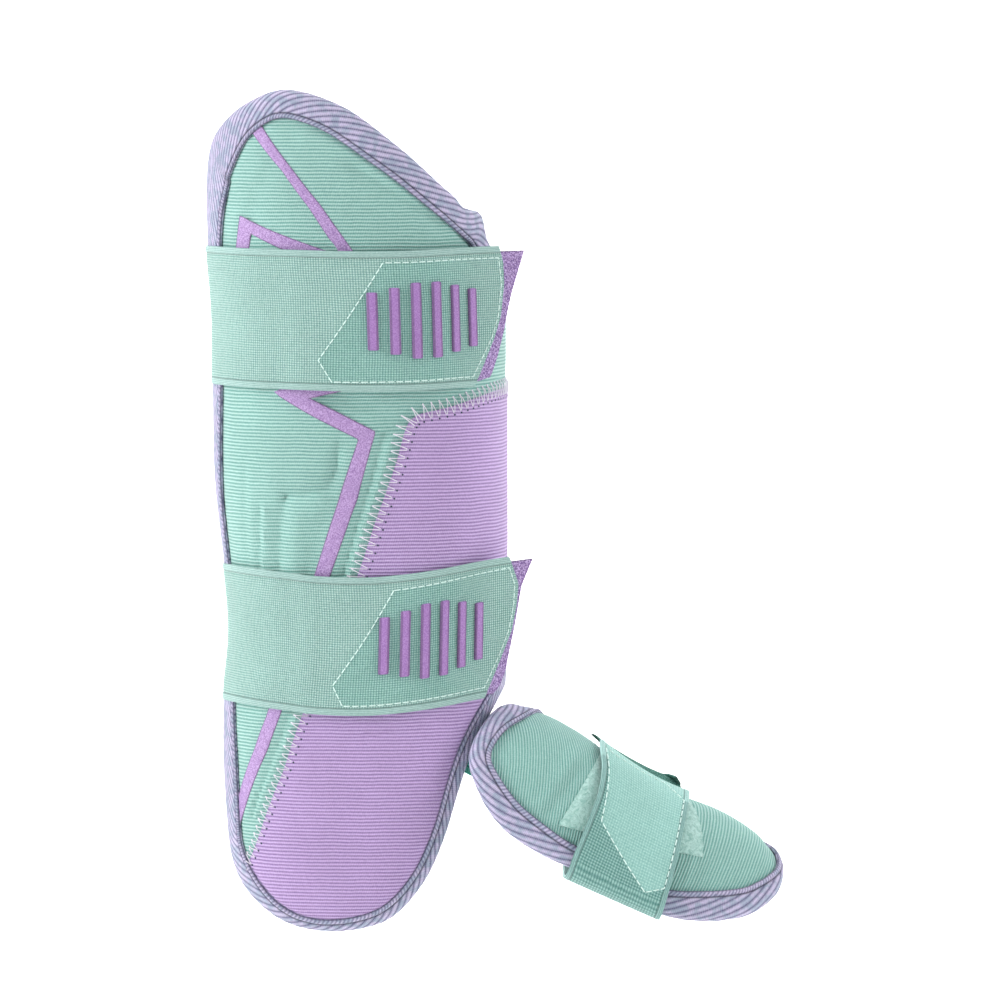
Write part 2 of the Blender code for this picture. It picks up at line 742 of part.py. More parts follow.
class FootStrap:
    """The strap round the foot: over the near side, under the sole and up the far side."""

    width_way = np.array((math.cos(FOOT_STRAP_SLOPE), 0.0, -math.sin(FOOT_STRAP_SLOPE)))
    inner_depth = 2 * LAYER_GAP + 2 * PATCH_THICKNESS + LAYER_GAP

    @classmethod
    def ring(cls):
        """Section of the loop as (reach towards the near side, sink, outward y, outward sink)."""
        near = np.radians(np.linspace(FOOT_TAB_ANGLE, FOOT_SOLE_ANGLE, 24))
        far = np.radians(np.linspace(-FOOT_SOLE_ANGLE, FOOT_STRAP_SEWN_ANGLE, 14))
        rows = [cls.side_row(angle) for angle in near]
        reach, sink = rows[-1][:2]
        straight = reach - FOOT_SOLE_CORNER
        turn = [
            (straight + FOOT_SOLE_CORNER * math.cos(a), sink + FOOT_SOLE_DROP * math.sin(a),
             math.cos(a), math.sin(a)) for a in np.radians(np.linspace(0.0, 90.0, 7))[1:]
        ]
        rows += turn
        rows += [(-reach, sink, -out, drop) for reach, sink, out, drop in turn[::-1]]
        rows += [cls.side_row(angle) for angle in far]
        return np.array(rows)

    @staticmethod
    def side_row(angle):
        """A row of the ring where it follows the instep."""
        reach, sink = FOOT_HALF_WIDTH * math.sin(angle), FOOT_DEPTH * (1 - math.cos(angle))
        out, drop = FOOT_DEPTH * math.sin(angle), -FOOT_HALF_WIDTH * math.cos(angle)
        size = math.hypot(out, drop)
        return reach, sink, out / size, drop / size

    @classmethod
    def at(cls, run, across, depth):
        """Points at a distance along the ring from its first row, an offset across and a depth."""
        ring = cls.ring()
        steps = np.linalg.norm(np.diff(ring[:, :2], axis=0), axis=1)
        length = np.concatenate(((0.0,), np.cumsum(steps)))
        reach, sink, out, drop = [np.interp(run, length, column) for column in ring.T]
        reach, sink = reach + out * depth, sink + drop * depth
        sink = sink - FOOT_SOLE_TAPER * across * (sink / FOOT_DEPTH) ** 2
        top = np.clip(1 - sink / FOOT_DEPTH, 0.0, 1.0) ** 2
        along = np.full(run.shape, FOOT_STRAP_PLACE)
        for _ in range(3):
            share = (along + FOOT_HEEL_OVERLAP) / FOOT_LENGTH
            crest = read_table(FOOT_SECTIONS, share)[..., 0] * FOOT_CREST_RISE * top
            level = FOOT_STRAP_PLACE + across - (sink - crest) * np.dot(cls.width_way, Foot.down)
            along = level / np.dot(cls.width_way, Foot.forward)
        sink = sink - crest
        parts = (along[..., None] * Foot.forward, sink[..., None] * Foot.down, reach[..., None] * Foot.side)
        return FOOT_HEEL + sum(parts)

    @classmethod
    def length_to(cls, angle):
        """Distance along the ring from its first row to an angle on the near side."""
        angles = np.radians(np.linspace(FOOT_TAB_ANGLE, angle, 40))
        rows = np.array([cls.side_row(a)[:2] for a in angles])
        return np.linalg.norm(np.diff(rows, axis=0), axis=1).sum()

    @classmethod
    def full_length(cls):
        """Distance along the ring from its first row to its last."""
        return np.linalg.norm(np.diff(cls.ring()[:, :2], axis=0), axis=1).sum()


def build_foot_strap():
    """The foot strap, from its free end on the crest to the far edge, and its hook patch."""
    start, end = FootStrap.length_to(FOOT_STRAP_FREE_ANGLE), FootStrap.full_length()

    def strap_place(u, v):
        run = start + u * (end - start)
        depth = np.full(u.shape, FootStrap.inner_depth + FOOT_STRAP_THICKNESS / 2)
        return FootStrap.at(run, (v - 0.5) * FOOT_STRAP_WIDTH, depth)

    grid_object("foot_strap", 36, 3, strap_place, "mint_elastic", wall=FOOT_STRAP_THICKNESS)
    rear = FootStrap.length_to(FOOT_HOOK_REAR_ANGLE)

    def patch_place(u, v):
        depth = 2 * LAYER_GAP + PATCH_THICKNESS * 1.5 + FOOT_TAB_FLARE * eased(1 - u * rear / start)
        return FootStrap.at(u * rear, (v - 0.5) * FOOT_STRAP_WIDTH * 0.92, depth)

    grid_object("foot_hook_patch", 10, 3, patch_place, "teal_hook", wall=PATCH_THICKNESS)


def build_link():
    """The elastic web from inside the shin pad's lower front edge to inside the foot pad."""
    upper_depth = -PAD_WALL - TAPE_CLEARANCE - TAPE_THICKNESS - LINK_THICKNESS
    lower_depth = -FOOT_PAD_WALL - 2 * LAYER_GAP - LINK_THICKNESS / 2
    shin = Shin.flat(LINK_SHIN_EDGE)
    foot = Foot.flat(LINK_FOOT_EDGE)

    def place(u, v):
        a, b = u[..., None], v[..., None]
        upper = Shin.at(shin[0] + a * (shin[1] - shin[0]), np.full(u.shape, upper_depth))
        lower = Foot.at(foot[0] + a * (foot[1] - foot[0]), np.full(u.shape, lower_depth))
        under = shin[0] + a * (shin[1] - shin[0]) - np.array((0.0, LINK_DROP))
        bend = Shin.at(under, np.full(u.shape, upper_depth - LINK_SINK))
        return (1 - b) ** 2 * upper + 2 * b * (1 - b) * bend + b * b * lower

    grid_object("ankle_link", 4, 6, place, "mint_elastic", wall=LINK_THICKNESS)


clear_scene()
COLLECTION = bpy.data.collections.new("leg_guard")
bpy.context.scene.collection.children.link(COLLECTION)
MATERIALS = {name: make_material(name) for name in FINISHES}
build_shin()
build_stripe("trim_stripe_top", TOP_STRIPE)
build_stripe("trim_stripe_zigzag", ZIGZAG_STRIPE)
build_stripe("trim_stripe_chevron", CHEVRON_STRIPE)
for strap_name in STRAP_PLACES:
    build_strap(strap_name)
build_foot()
build_foot_strap()
build_link()
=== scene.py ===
"""Dresses a batter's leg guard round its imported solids.

Metres, +Z up. +X points to the toes and -Y to the outer side of the right leg. Each soft piece is laid
out on the same surface as its solid. A place on the shin guard is its distance round the leg and its
height, a place on the foot guard its distance along and around the instep, both on the flat pattern.
Depths count outwards from the pads' outer faces, and each mesh keeps its flat pattern as a UV map.
"""

import logging
import math
from collections.abc import Callable, Sequence
from dataclasses import dataclass, field
from enum import Enum
from typing import NamedTuple

import bpy
import numpy as np
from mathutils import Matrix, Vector

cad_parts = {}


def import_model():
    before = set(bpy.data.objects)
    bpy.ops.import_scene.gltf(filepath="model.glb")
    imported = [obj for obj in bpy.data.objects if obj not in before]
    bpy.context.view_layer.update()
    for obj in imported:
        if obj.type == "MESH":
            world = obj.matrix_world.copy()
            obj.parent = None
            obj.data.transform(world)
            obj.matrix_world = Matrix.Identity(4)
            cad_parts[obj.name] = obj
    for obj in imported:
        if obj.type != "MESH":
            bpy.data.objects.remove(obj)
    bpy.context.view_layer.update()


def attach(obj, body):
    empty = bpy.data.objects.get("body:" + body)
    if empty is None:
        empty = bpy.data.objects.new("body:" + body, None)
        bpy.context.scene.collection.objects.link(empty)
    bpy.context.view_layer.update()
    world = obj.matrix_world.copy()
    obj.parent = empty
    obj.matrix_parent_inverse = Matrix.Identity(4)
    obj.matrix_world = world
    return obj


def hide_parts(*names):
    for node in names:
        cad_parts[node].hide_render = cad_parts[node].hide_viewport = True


LOG = logging.getLogger("leg_guard")
PATTERN = "pattern"

Points = np.ndarray
Place = Callable[[Points, Points], Points]
Colour = tuple[float, float, float, float]


class Side(Enum):
    """Which way a wall grows from the face that is laid out."""

    INWARD = -1.0
    CENTRED = 0.0


class LegSection(NamedTuple):
    """A level section of the leg: height as a share, reach as shares of half depth and half width."""

    height: float
    front: float
    rear: float
    width: float


class Roll(NamedTuple):
    """How far the pad's edge rolls in at a height, both as shares."""

    height: float
    share: float


class Spot(NamedTuple):
    """A place on the shin guard: degrees round the leg, and height as a share."""

    around: float
    height: float


class Crease(NamedTuple):
    """A soft ridge or furrow in the shin pad: its line, half width and rise in metres."""

    line: tuple[Spot, ...]
    width: float
    rise: float


class EndSpot(NamedTuple):
    """A point of a strap's end, in strap widths: forward of where it leaves the leg, and across."""

    forward: float
    across: float


class StripeSpot(NamedTuple):
    """A station of a film stripe: degrees and height of its left side and of its right side."""

    left_around: float
    left_height: float
    right_around: float
    right_height: float


class Sag(NamedTuple):
    """How far a strap bows up from its straight line at a distance back, both in metres."""

    back: float
    rise: float


class EdgeShift(NamedTuple):
    """How far the foot strap's left and right edges move at a distance along it, in metres."""

    run: float
    left: float
    right: float


class TapeWidth(NamedTuple):
    """Width of the tape's outer face at a share of the way round its pad."""

    share: float
    width: float


class InstepSection(NamedTuple):
    """A cross section of the instep: place along, crest and half width, all as shares."""

    along: float
    crest: float
    width: float


class FootSpot(NamedTuple):
    """A place on the foot guard: share of its length, and degrees round the instep."""

    along: float
    around: float


class TapeSection(NamedTuple):
    """The folded tape's section at every station: inset from the edge, depth, and run over the tape."""

    inset: Points
    depth: Points
    run: Points


LEG_SECTIONS = (
    LegSection(0.00, 0.86, 0.84, 0.72),
    LegSection(0.07, 0.93, 0.89, 0.80),
    LegSection(0.15, 0.95, 0.89, 0.845),
    LegSection(0.28, 0.98, 0.885, 0.88),
    LegSection(0.36, 0.99, 0.845, 0.90),
    LegSection(0.45, 1.00, 0.885, 0.925),
    LegSection(0.53, 1.00, 0.935, 0.948),
    LegSection(0.64, 1.00, 0.95, 0.965),
    LegSection(0.73, 1.00, 0.95, 0.98),
    LegSection(0.81, 0.975, 0.985, 0.99),
    LegSection(0.88, 0.94, 1.00, 1.00),
    LegSection(1.00, 0.88, 0.98, 1.00),
)
EDGE_ROLLS = (
    Roll(0.00, 1.00),
    Roll(0.08, 0.60),
    Roll(0.20, 0.14),
    Roll(0.35, 0.08),
    Roll(0.70, 0.12),
    Roll(1.00, 0.12),
)
TOP_EDGE = (
    Spot(166.0, 0.887),
    Spot(159.0, 0.930),
    Spot(147.0, 0.954),
    Spot(131.0, 0.9755),
    Spot(113.0, 0.9885),
    Spot(92.0, 0.971),
    Spot(71.0, 0.925),
    Spot(53.0, 0.881),
    Spot(41.0, 0.858),
    Spot(32.0, 0.841),
    Spot(24.0, 0.812),
    Spot(4.0, 0.801),
    Spot(-20.0, 0.796),
    Spot(-46.0, 0.779),
    Spot(-61.0, 0.730),
)
INNER_EDGE = (
    Spot(-66.0, 0.647),
    Spot(-68.0, 0.539),
    Spot(-68.0, 0.430),
    Spot(-61.0, 0.330),
)
BOTTOM_EDGE = (
    Spot(-42.0, 0.280),
    Spot(-12.0, 0.282),
    Spot(13.0, 0.278),
    Spot(30.0, 0.251),
    Spot(39.8, 0.217),
    Spot(45.8, 0.178),
    Spot(51.6, 0.128),
    Spot(62.0, 0.067),
    Spot(75.0, 0.025),
    Spot(90.5, 0.010),
    Spot(108.0, 0.009),
    Spot(124.0, 0.019),
    Spot(140.0, 0.041),
    Spot(153.0, 0.066),
    Spot(163.2, 0.100),
    Spot(168.8, 0.155),
)
REAR_EDGE = (
    Spot(169.5, 0.289),
    Spot(171.0, 0.470),
    Spot(171.0, 0.637),
    Spot(169.5, 0.784),
)
SEAM_TOP = (
    Spot(-58.0, 0.607),
    Spot(-30.0, 0.632),
    Spot(-5.0, 0.641),
    Spot(14.0, 0.642),
    Spot(29.2, 0.6394),
    Spot(43.6, 0.6327),
    Spot(54.5, 0.6255),
    Spot(63.5, 0.6205),
    Spot(67.9, 0.6175),
    Spot(71.1, 0.6111),
)
SEAM_SIDE = (
    Spot(145.5, 0.0720),
    Spot(141.5, 0.0868),
    Spot(136.8, 0.1033),
    Spot(133.3, 0.1212),
    Spot(129.3, 0.1469),
    Spot(123.6, 0.1820),
    Spot(119.8, 0.2049),
    Spot(114.2, 0.2517),
    Spot(102.0, 0.3520),
    Spot(89.8, 0.4491),
    Spot(85.7, 0.4847),
    Spot(80.0, 0.5304),
    Spot(76.2, 0.5641),
    Spot(73.9, 0.5898),
    Spot(72.6, 0.6026),
    Spot(71.1, 0.6111),
)
PANEL_REAR = (Spot(112.0, 0.022), Spot(122.3, 0.0321), Spot(137.4, 0.053))
PANEL_FRONT = (
    Spot(86.0, 0.022),
    Spot(79.0, 0.036),
    Spot(68.3, 0.074),
    Spot(59.6, 0.133),
    Spot(53.1, 0.183),
    Spot(45.3, 0.228),
    Spot(34.3, 0.2695),
    Spot(14.5, 0.3025),
    Spot(-12.0, 0.3065),
    Spot(-38.0, 0.3105),
    Spot(-50.0, 0.3250),
    Spot(-56.5, 0.3500),
    Spot(-62.5, 0.4300),
    Spot(-62.5, 0.5390),
    Spot(-58.0, 0.6070),
)
TOP_STRIPE = (
    StripeSpot(131.5, 0.9560, 126.5, 0.9610),
    StripeSpot(127.3, 0.9401, 122.0, 0.9460),
    StripeSpot(113.6, 0.8954, 108.9, 0.8954),
    StripeSpot(103.9, 0.8530, 99.8, 0.8572),
    StripeSpot(95.5, 0.8070, 90.0, 0.8070),
    StripeSpot(89.0, 0.7700, 83.5, 0.7700),
)
ZIGZAG_STRIPE = (
    StripeSpot(92.0, 0.6663, 92.0, 0.6466),
    StripeSpot(122.0, 0.6438, 106.1, 0.6360),
    StripeSpot(106.1, 0.6164, 96.6, 0.6210),
    StripeSpot(89.5, 0.5893, 83.4, 0.5985),
    StripeSpot(97.3, 0.5163, 90.2, 0.5210),
    StripeSpot(107.9, 0.4325, 101.6, 0.4329),
    StripeSpot(128.6, 0.2671, 121.6, 0.2682),
    StripeSpot(135.4, 0.2270, 127.3, 0.2287),
    StripeSpot(144.0, 0.1870, 135.6, 0.1886),
    StripeSpot(149.7, 0.1586, 141.1, 0.1603),
    StripeSpot(153.5, 0.1380, 145.5, 0.1390),
)
CHEVRON_STRIPE = (
    StripeSpot(139.6, 0.7880, 131.4, 0.7880),
    StripeSpot(137.9, 0.8055, 130.0, 0.8060),
    StripeSpot(134.2, 0.8447, 128.5, 0.8230),
    StripeSpot(101.5, 0.8080, 115.6, 0.8064),
    StripeSpot(93.0, 0.7985, 107.0, 0.7955),
)
SHIN_TAPE = (
    TapeWidth(0.000, 0.0284),
    TapeWidth(0.012, 0.0286),
    TapeWidth(0.026, 0.0268),
    TapeWidth(0.036, 0.0216),
    TapeWidth(0.047, 0.0164),
    TapeWidth(0.058, 0.0136),
    TapeWidth(0.080, 0.0131),
    TapeWidth(0.103, 0.0138),
    TapeWidth(0.130, 0.0138),
    TapeWidth(0.145, 0.0145),
    TapeWidth(0.162, 0.0163),
    TapeWidth(0.200, 0.0135),
    TapeWidth(0.300, 0.0130),
    TapeWidth(0.450, 0.0130),
    TapeWidth(0.500, 0.0142),
    TapeWidth(0.530, 0.0125),
    TapeWidth(0.560, 0.0108),
    TapeWidth(0.600, 0.0103),
    TapeWidth(0.617, 0.0104),
    TapeWidth(0.635, 0.0094),
    TapeWidth(0.653, 0.0090),
    TapeWidth(0.674, 0.0125),
    TapeWidth(0.695, 0.0188),
    TapeWidth(0.727, 0.0245),
    TapeWidth(0.755, 0.0247),
    TapeWidth(0.782, 0.0204),
    TapeWidth(0.820, 0.0170),
    TapeWidth(0.850, 0.0139),
    TapeWidth(0.883, 0.0176),
    TapeWidth(0.909, 0.0194),
    TapeWidth(0.974, 0.0229),
    TapeWidth(1.000, 0.0284),
)
FOOT_TAPE = (
    TapeWidth(0.000, 0.0122),
    TapeWidth(0.024, 0.0117),
    TapeWidth(0.058, 0.0096),
    TapeWidth(0.110, 0.0090),
    TapeWidth(0.168, 0.0091),
    TapeWidth(0.208, 0.0108),
    TapeWidth(0.252, 0.0111),
    TapeWidth(0.295, 0.0099),
    TapeWidth(0.335, 0.0094),
    TapeWidth(0.370, 0.0108),
    TapeWidth(0.403, 0.0146),
    TapeWidth(0.430, 0.0150),
    TapeWidth(0.480, 0.0130),
    TapeWidth(0.600, 0.0130),
    TapeWidth(0.760, 0.0090),
    TapeWidth(0.800, 0.0078),
    TapeWidth(0.850, 0.0070),
    TapeWidth(0.882, 0.0072),
    TapeWidth(0.914, 0.0098),
    TapeWidth(0.944, 0.0117),
    TapeWidth(0.987, 0.0124),
    TapeWidth(1.000, 0.0122),
)
PAD_CREASES = (
    Crease(
        (Spot(96.5, 0.587), Spot(98.0, 0.553), Spot(101.1, 0.533), Spot(108.9, 0.527), Spot(116.9, 0.523)),
        0.0015,
        -0.0011,
    ),
    Crease(
        (Spot(116.9, 0.523), Spot(119.1, 0.503), Spot(121.3, 0.473), Spot(123.2, 0.437)),
        0.0019,
        -0.0009,
    ),
    Crease((Spot(103.0, 0.556), Spot(112.0, 0.545), Spot(122.0, 0.540)), 0.0050, 0.0010),
    Crease((Spot(103.0, 0.512), Spot(112.0, 0.505), Spot(114.0, 0.470), Spot(117.0, 0.435)), 0.0042, 0.0009),
    Crease((Spot(129.7, 0.509), Spot(131.9, 0.471), Spot(133.8, 0.435)), 0.0020, -0.0008),
    Crease((Spot(126.5, 0.509), Spot(128.6, 0.471), Spot(130.2, 0.435)), 0.0020, 0.0008),
    Crease((Spot(136.0, 0.560), Spot(139.0, 0.500), Spot(141.0, 0.435)), 0.0022, -0.0005),
    Crease(
        (Spot(104.0, 0.933), Spot(91.0, 0.922), Spot(77.2, 0.890), Spot(58.3, 0.854), Spot(47.2, 0.830)),
        0.0028,
        0.0013,
    ),
    Crease((Spot(88.0, 0.900), Spot(74.0, 0.868), Spot(57.0, 0.834)), 0.0030, -0.0010),
    Crease((Spot(118.0, 0.900), Spot(126.0, 0.860), Spot(130.0, 0.830)), 0.0040, -0.0006),
    Crease((Spot(99.0, 0.636), Spot(85.5, 0.622), Spot(78.0, 0.600)), 0.0050, -0.0014),
    Crease(
        (Spot(80.7, 0.595), Spot(85.2, 0.540), Spot(94.2, 0.460), Spot(97.5, 0.430), Spot(115.5, 0.285)),
        0.0015,
        -0.0012,
    ),
    Crease((Spot(115.5, 0.285), Spot(122.5, 0.235), Spot(137.5, 0.150)), 0.0015, -0.0011),
    Crease((Spot(77.5, 0.590), Spot(82.0, 0.545), Spot(91.0, 0.465), Spot(112.0, 0.285)), 0.0013, 0.0008),
    Crease((Spot(112.0, 0.285), Spot(119.0, 0.235), Spot(134.0, 0.150)), 0.0013, 0.0008),
    Crease((Spot(94.0, 0.585), Spot(101.0, 0.515), Spot(111.5, 0.430)), 0.0016, -0.0008),
)
PANEL_CREASES = (
    Crease((Spot(88.5, 0.2500), Spot(85.0, 0.2485), Spot(80.5, 0.2525)), 0.0012, -0.0009),
    Crease((Spot(89.0, 0.2570), Spot(85.0, 0.2560), Spot(79.0, 0.2600)), 0.0022, 0.0006),
    Crease((Spot(74.0, 0.2900), Spot(62.0, 0.2950), Spot(50.0, 0.3050)), 0.0030, -0.0007),
)
UPPER_END = (
    EndSpot(0.190, -0.50),
    EndSpot(0.228, -0.422),
    EndSpot(0.345, -0.160),
    EndSpot(0.400, -0.006),
    EndSpot(0.440, 0.229),
    EndSpot(0.443, 0.379),
    EndSpot(0.420, 0.50),
)
UPPER_TAB = (
    EndSpot(0.020, -0.50),
    EndSpot(0.220, -0.465),
    EndSpot(0.330, -0.435),
    EndSpot(0.384, -0.286),
    EndSpot(0.432, -0.115),
    EndSpot(0.468, 0.034),
    EndSpot(0.507, 0.162),
    EndSpot(0.555, 0.282),
    EndSpot(0.645, 0.50),
)
LOWER_END = (
    EndSpot(0.270, -0.50),
    EndSpot(0.388, -0.230),
    EndSpot(0.472, -0.034),
    EndSpot(0.509, 0.144),
    EndSpot(0.524, 0.296),
    EndSpot(0.454, 0.50),
)
LOWER_TAB = (
    EndSpot(0.330, -0.50),
    EndSpot(0.397, -0.432),
    EndSpot(0.437, -0.333),
    EndSpot(0.506, -0.004),
    EndSpot(0.559, 0.275),
    EndSpot(0.670, 0.50),
)
PATCH_REAR = (EndSpot(-0.83, -0.50), EndSpot(-0.92, -0.38), EndSpot(-0.45, 0.50))
UPPER_STITCHES = (
    EndSpot(-0.419, 0.416),
    EndSpot(-0.822, -0.284),
    EndSpot(-0.741, -0.435),
    EndSpot(0.180, -0.425),
    EndSpot(0.325, -0.150),
    EndSpot(0.376, -0.006),
    EndSpot(0.416, 0.229),
    EndSpot(0.408, 0.415),
)
LOWER_STITCHES = (
    EndSpot(-0.406, 0.393),
    EndSpot(-0.778, -0.286),
    EndSpot(-0.710, -0.430),
    EndSpot(0.265, -0.420),
    EndSpot(0.360, -0.230),
    EndSpot(0.444, -0.034),
    EndSpot(0.482, 0.144),
    EndSpot(0.492, 0.296),
    EndSpot(0.450, 0.420),
)
UPPER_SAG = (
    Sag(-0.045, -0.0001),
    Sag(-0.025, -0.0003),
    Sag(-0.005, -0.0006),
    Sag(0.015, -0.0013),
    Sag(0.038, -0.0012),
    Sag(0.060, -0.0004),
    Sag(0.080, 0.0001),
    Sag(0.100, 0.0007),
    Sag(0.130, 0.0008),
    Sag(0.200, 0.0),
    Sag(0.300, 0.0),
)
LOWER_SAG = (
    Sag(-0.045, 0.0028),
    Sag(-0.028, 0.0021),
    Sag(-0.015, 0.0012),
    Sag(0.003, -0.0007),
    Sag(0.022, -0.0024),
    Sag(0.034, -0.0030),
    Sag(0.052, -0.0021),
    Sag(0.073, 0.0004),
    Sag(0.097, 0.0026),
    Sag(0.125, 0.0034),
    Sag(0.200, 0.0006),
    Sag(0.300, 0.0),
)
FOOT_STRAP_EDGES = (
    EdgeShift(0.000, 0.0002, 0.0004),
    EdgeShift(0.010, 0.0008, 0.0006),
    EdgeShift(0.0155, 0.0014, 0.0008),
    EdgeShift(0.0257, 0.0040, 0.0010),
    EdgeShift(0.0354, 0.0048, 0.0013),
    EdgeShift(0.0499, 0.0033, 0.0017),
    EdgeShift(0.0655, 0.0010, 0.0015),
    EdgeShift(0.0767, -0.0002, 0.0011),
    EdgeShift(0.0960, 0.0, 0.0007),
    EdgeShift(0.1300, 0.0, 0.0),
    EdgeShift(0.2000, 0.0, 0.0),
)
INSTEP_SECTIONS = (
    InstepSection(0.00, -0.15, 0.98),
    InstepSection(0.08, 0.00, 1.00),
    InstepSection(0.14, 0.40, 1.00),
    InstepSection(0.23, 0.57, 1.00),
    InstepSection(0.31, 0.50, 1.00),
    InstepSection(0.38, 0.25, 1.00),
    InstepSection(0.58, 0.25, 1.00),
    InstepSection(0.65, 0.60, 1.00),
    InstepSection(0.72, 0.92, 0.98),
    InstepSection(0.81, 1.00, 0.95),
    InstepSection(0.91, 0.68, 0.88),
    InstepSection(0.96, 0.28, 0.84),
    InstepSection(1.00, -0.25, 0.80),
)
FOOT_TOE_EDGE = (
    FootSpot(0.955, 56.0),
    FootSpot(0.996, 38.0),
    FootSpot(1.000, 19.0),
    FootSpot(0.975, 0.0),
    FootSpot(0.925, -20.0),
)
FOOT_FAR_EDGE = (
    FootSpot(0.80, -36.0),
    FootSpot(0.60, -43.0),
    FootSpot(0.40, -44.0),
    FootSpot(0.22, -40.0),
)
FOOT_HEEL_EDGE = (
    FootSpot(0.10, -26.0),
    FootSpot(0.035, 0.0),
    FootSpot(0.003, 30.0),
    FootSpot(0.012, 58.0),
    FootSpot(0.085, 71.0),
)
FOOT_NEAR_EDGE = (
    FootSpot(0.19, 80.0),
    FootSpot(0.32, 82.0),
    FootSpot(0.45, 80.0),
    FootSpot(0.60, 79.0),
    FootSpot(0.74, 77.0),
    FootSpot(0.86, 69.0),
)
FOOT_PATCH_CORNERS = (
    FootSpot(0.345, 8.0),
    FootSpot(0.625, 4.0),
    FootSpot(0.745, 45.0),
    FootSpot(0.335, 66.0),
)
FOOT_STITCHES = (
    EndSpot(0.0148, -0.444),
    EndSpot(0.0368, -0.405),
    EndSpot(0.0472, -0.370),
    EndSpot(0.0656, 0.274),
    EndSpot(0.0606, 0.446),
    EndSpot(0.0200, 0.448),
    EndSpot(0.0126, 0.240),
)
LINK_SHIN_EDGE = (Spot(27.0, 0.312), Spot(49.0, 0.250))
LINK_FOOT_EDGE = (FootSpot(0.21, 28.0), FootSpot(0.22, 57.0))


def read_table(rows: Sequence[tuple], at: Points) -> Points:
    """Reads a table along a smooth curve.

    Args:
        rows: Rows whose first column rises.
        at: Values of the first column.

    Returns:
        The other columns at those values.
    """
    table = np.array(rows, float)
    keys, columns = table[:, 0], table[:, 1:]
    at = np.clip(np.asarray(at, float), keys[0], keys[-1])
    slopes = np.gradient(columns, keys, axis=0)
    row = np.clip(np.searchsorted(keys, at, side="right") - 1, 0, len(keys) - 2)
    span = (keys[row + 1] - keys[row])[..., None]
    t = (at - keys[row])[..., None] / span
    start, end = columns[row], columns[row + 1]
    rise = (2 * t**3 - 3 * t**2 + 1) * start + (3 * t**2 - 2 * t**3) * end
    return rise + span * ((t**3 - 2 * t**2 + t) * slopes[row] + (t**3 - t**2) * slopes[row + 1])


def smooth_line(points: Points, count: int, closed: bool = False) -> Points:
    """Draws a smooth line through points.

    Args:
        points: The points to pass through.
        count: How many points the line gets.
        closed: Whether it ends where it began.

    Returns:
        The line's points.
    """
    line = np.array(points, float)
    extra = 3
    if closed:
        line = np.vstack((line[-extra:], line, line[: extra + 1]))
    steps = np.linalg.norm(np.diff(line, axis=0), axis=1)
    run = np.concatenate(((0.0,), np.cumsum(np.sqrt(steps))))
    first, last = (run[extra], run[-1 - extra]) if closed else (run[0], run[-1])
    return read_table(np.column_stack((run, line)), np.linspace(first, last, count))


def run_along(line: Points) -> Points:
    """Distance along a line at each of its points."""
    steps = np.linalg.norm(np.diff(line, axis=0), axis=1)
    return np.concatenate(((0.0,), np.cumsum(steps)))


def even_line(line: Points, count: int) -> Points:
    """Points at even steps along a line of many points."""
    run = run_along(line)
    at = np.linspace(0.0, run[-1], count)
    return np.column_stack([np.interp(at, run, column) for column in line.T])


def line_distance(spot: Points, line: Points) -> Points:
    """Distance of places from a line on the flat pattern."""
    start, reach = line[:-1], np.diff(line, axis=0)
    away = spot[..., None, :] - start
    share = np.clip((away * reach).sum(-1) / (reach * reach).sum(-1), 0.0, 1.0)
    return np.linalg.norm(away - share[..., None] * reach, axis=-1).min(-1)


def inset(line: Points, distance: Points | float) -> Points:
    """Moves a closed line inwards on the flat pattern.

    Args:
        line: A closed line that ends where it began.
        distance: How far, for all points or for each.

    Returns:
        The moved line, closed.
    """
    run = np.roll(line[:-1], -1, axis=0) - np.roll(line[:-1], 1, axis=0)
    run /= np.linalg.norm(run, axis=1, keepdims=True)
    reach = np.broadcast_to(distance, (len(line) - 1,))[:, None]
    moved = line[:-1] + reach * np.column_stack((-run[:, 1], run[:, 0]))
    return np.vstack((moved, moved[:1]))


def nearest(line: Points, spot: Points) -> int:
    """Number of the line's point that lies nearest to a place."""
    return int(np.argmin(np.linalg.norm(line - spot, axis=1)))


def stretch(line: Points, start: int, end: int) -> Points:
    """The part of a closed line from one point number forward to another."""
    if end <= start:
        return np.vstack((line[start:-1], line[: end + 1]))
    return line[start : end + 1]


def eased(share: Points) -> Points:
    """A share held between 0 and 1 that starts and ends gently."""
    held = np.clip(share, 0.0, 1.0)
    return held * held * (3 - 2 * held)


def match_heights(first: Points, second: Points, count: int) -> tuple[Points, Points]:
    """Pairs the points of two rising lines by their share of the rise.

    Args:
        first: One line, lowest point first.
        second: The other line.
        count: How many pairs.

    Returns:
        Both lines, denser where either runs far for its rise.
    """
    share = np.linspace(0.0, 1.0, 3000)
    lines = []
    for line in (first, second):
        rise = np.maximum.accumulate((line[:, 1] - line[0, 1]) / (line[-1, 1] - line[0, 1]))
        rise = rise + np.linspace(0.0, 1e-6, len(rise))
        lines.append(np.column_stack([np.interp(share, rise, column) for column in line.T]))
    run = run_along(lines[0]) + run_along(lines[1])
    at = np.interp(np.linspace(0.0, run[-1], count), run, share)
    return tuple(np.column_stack([np.interp(at, share, column) for column in line.T]) for line in lines)


def inside(spots: Points, corners: Points) -> Points:
    """Whether places lie inside a closed broken line.

    Args:
        spots: Places, one a row.
        corners: The line's corners.

    Returns:
        True for each place inside.
    """
    ahead = np.roll(corners, -1, axis=0)
    x, y = spots[:, None, 0], spots[:, None, 1]
    above = (corners[:, 1] > y) != (ahead[:, 1] > y)
    reach = np.where(np.abs(ahead[:, 1] - corners[:, 1]) < 1e-9, 1e-9, ahead[:, 1] - corners[:, 1])
    crossing = corners[:, 0] + (y - corners[:, 1]) / reach * (ahead[:, 0] - corners[:, 0])
    return (above & (x < crossing)).sum(axis=1) % 2 == 1


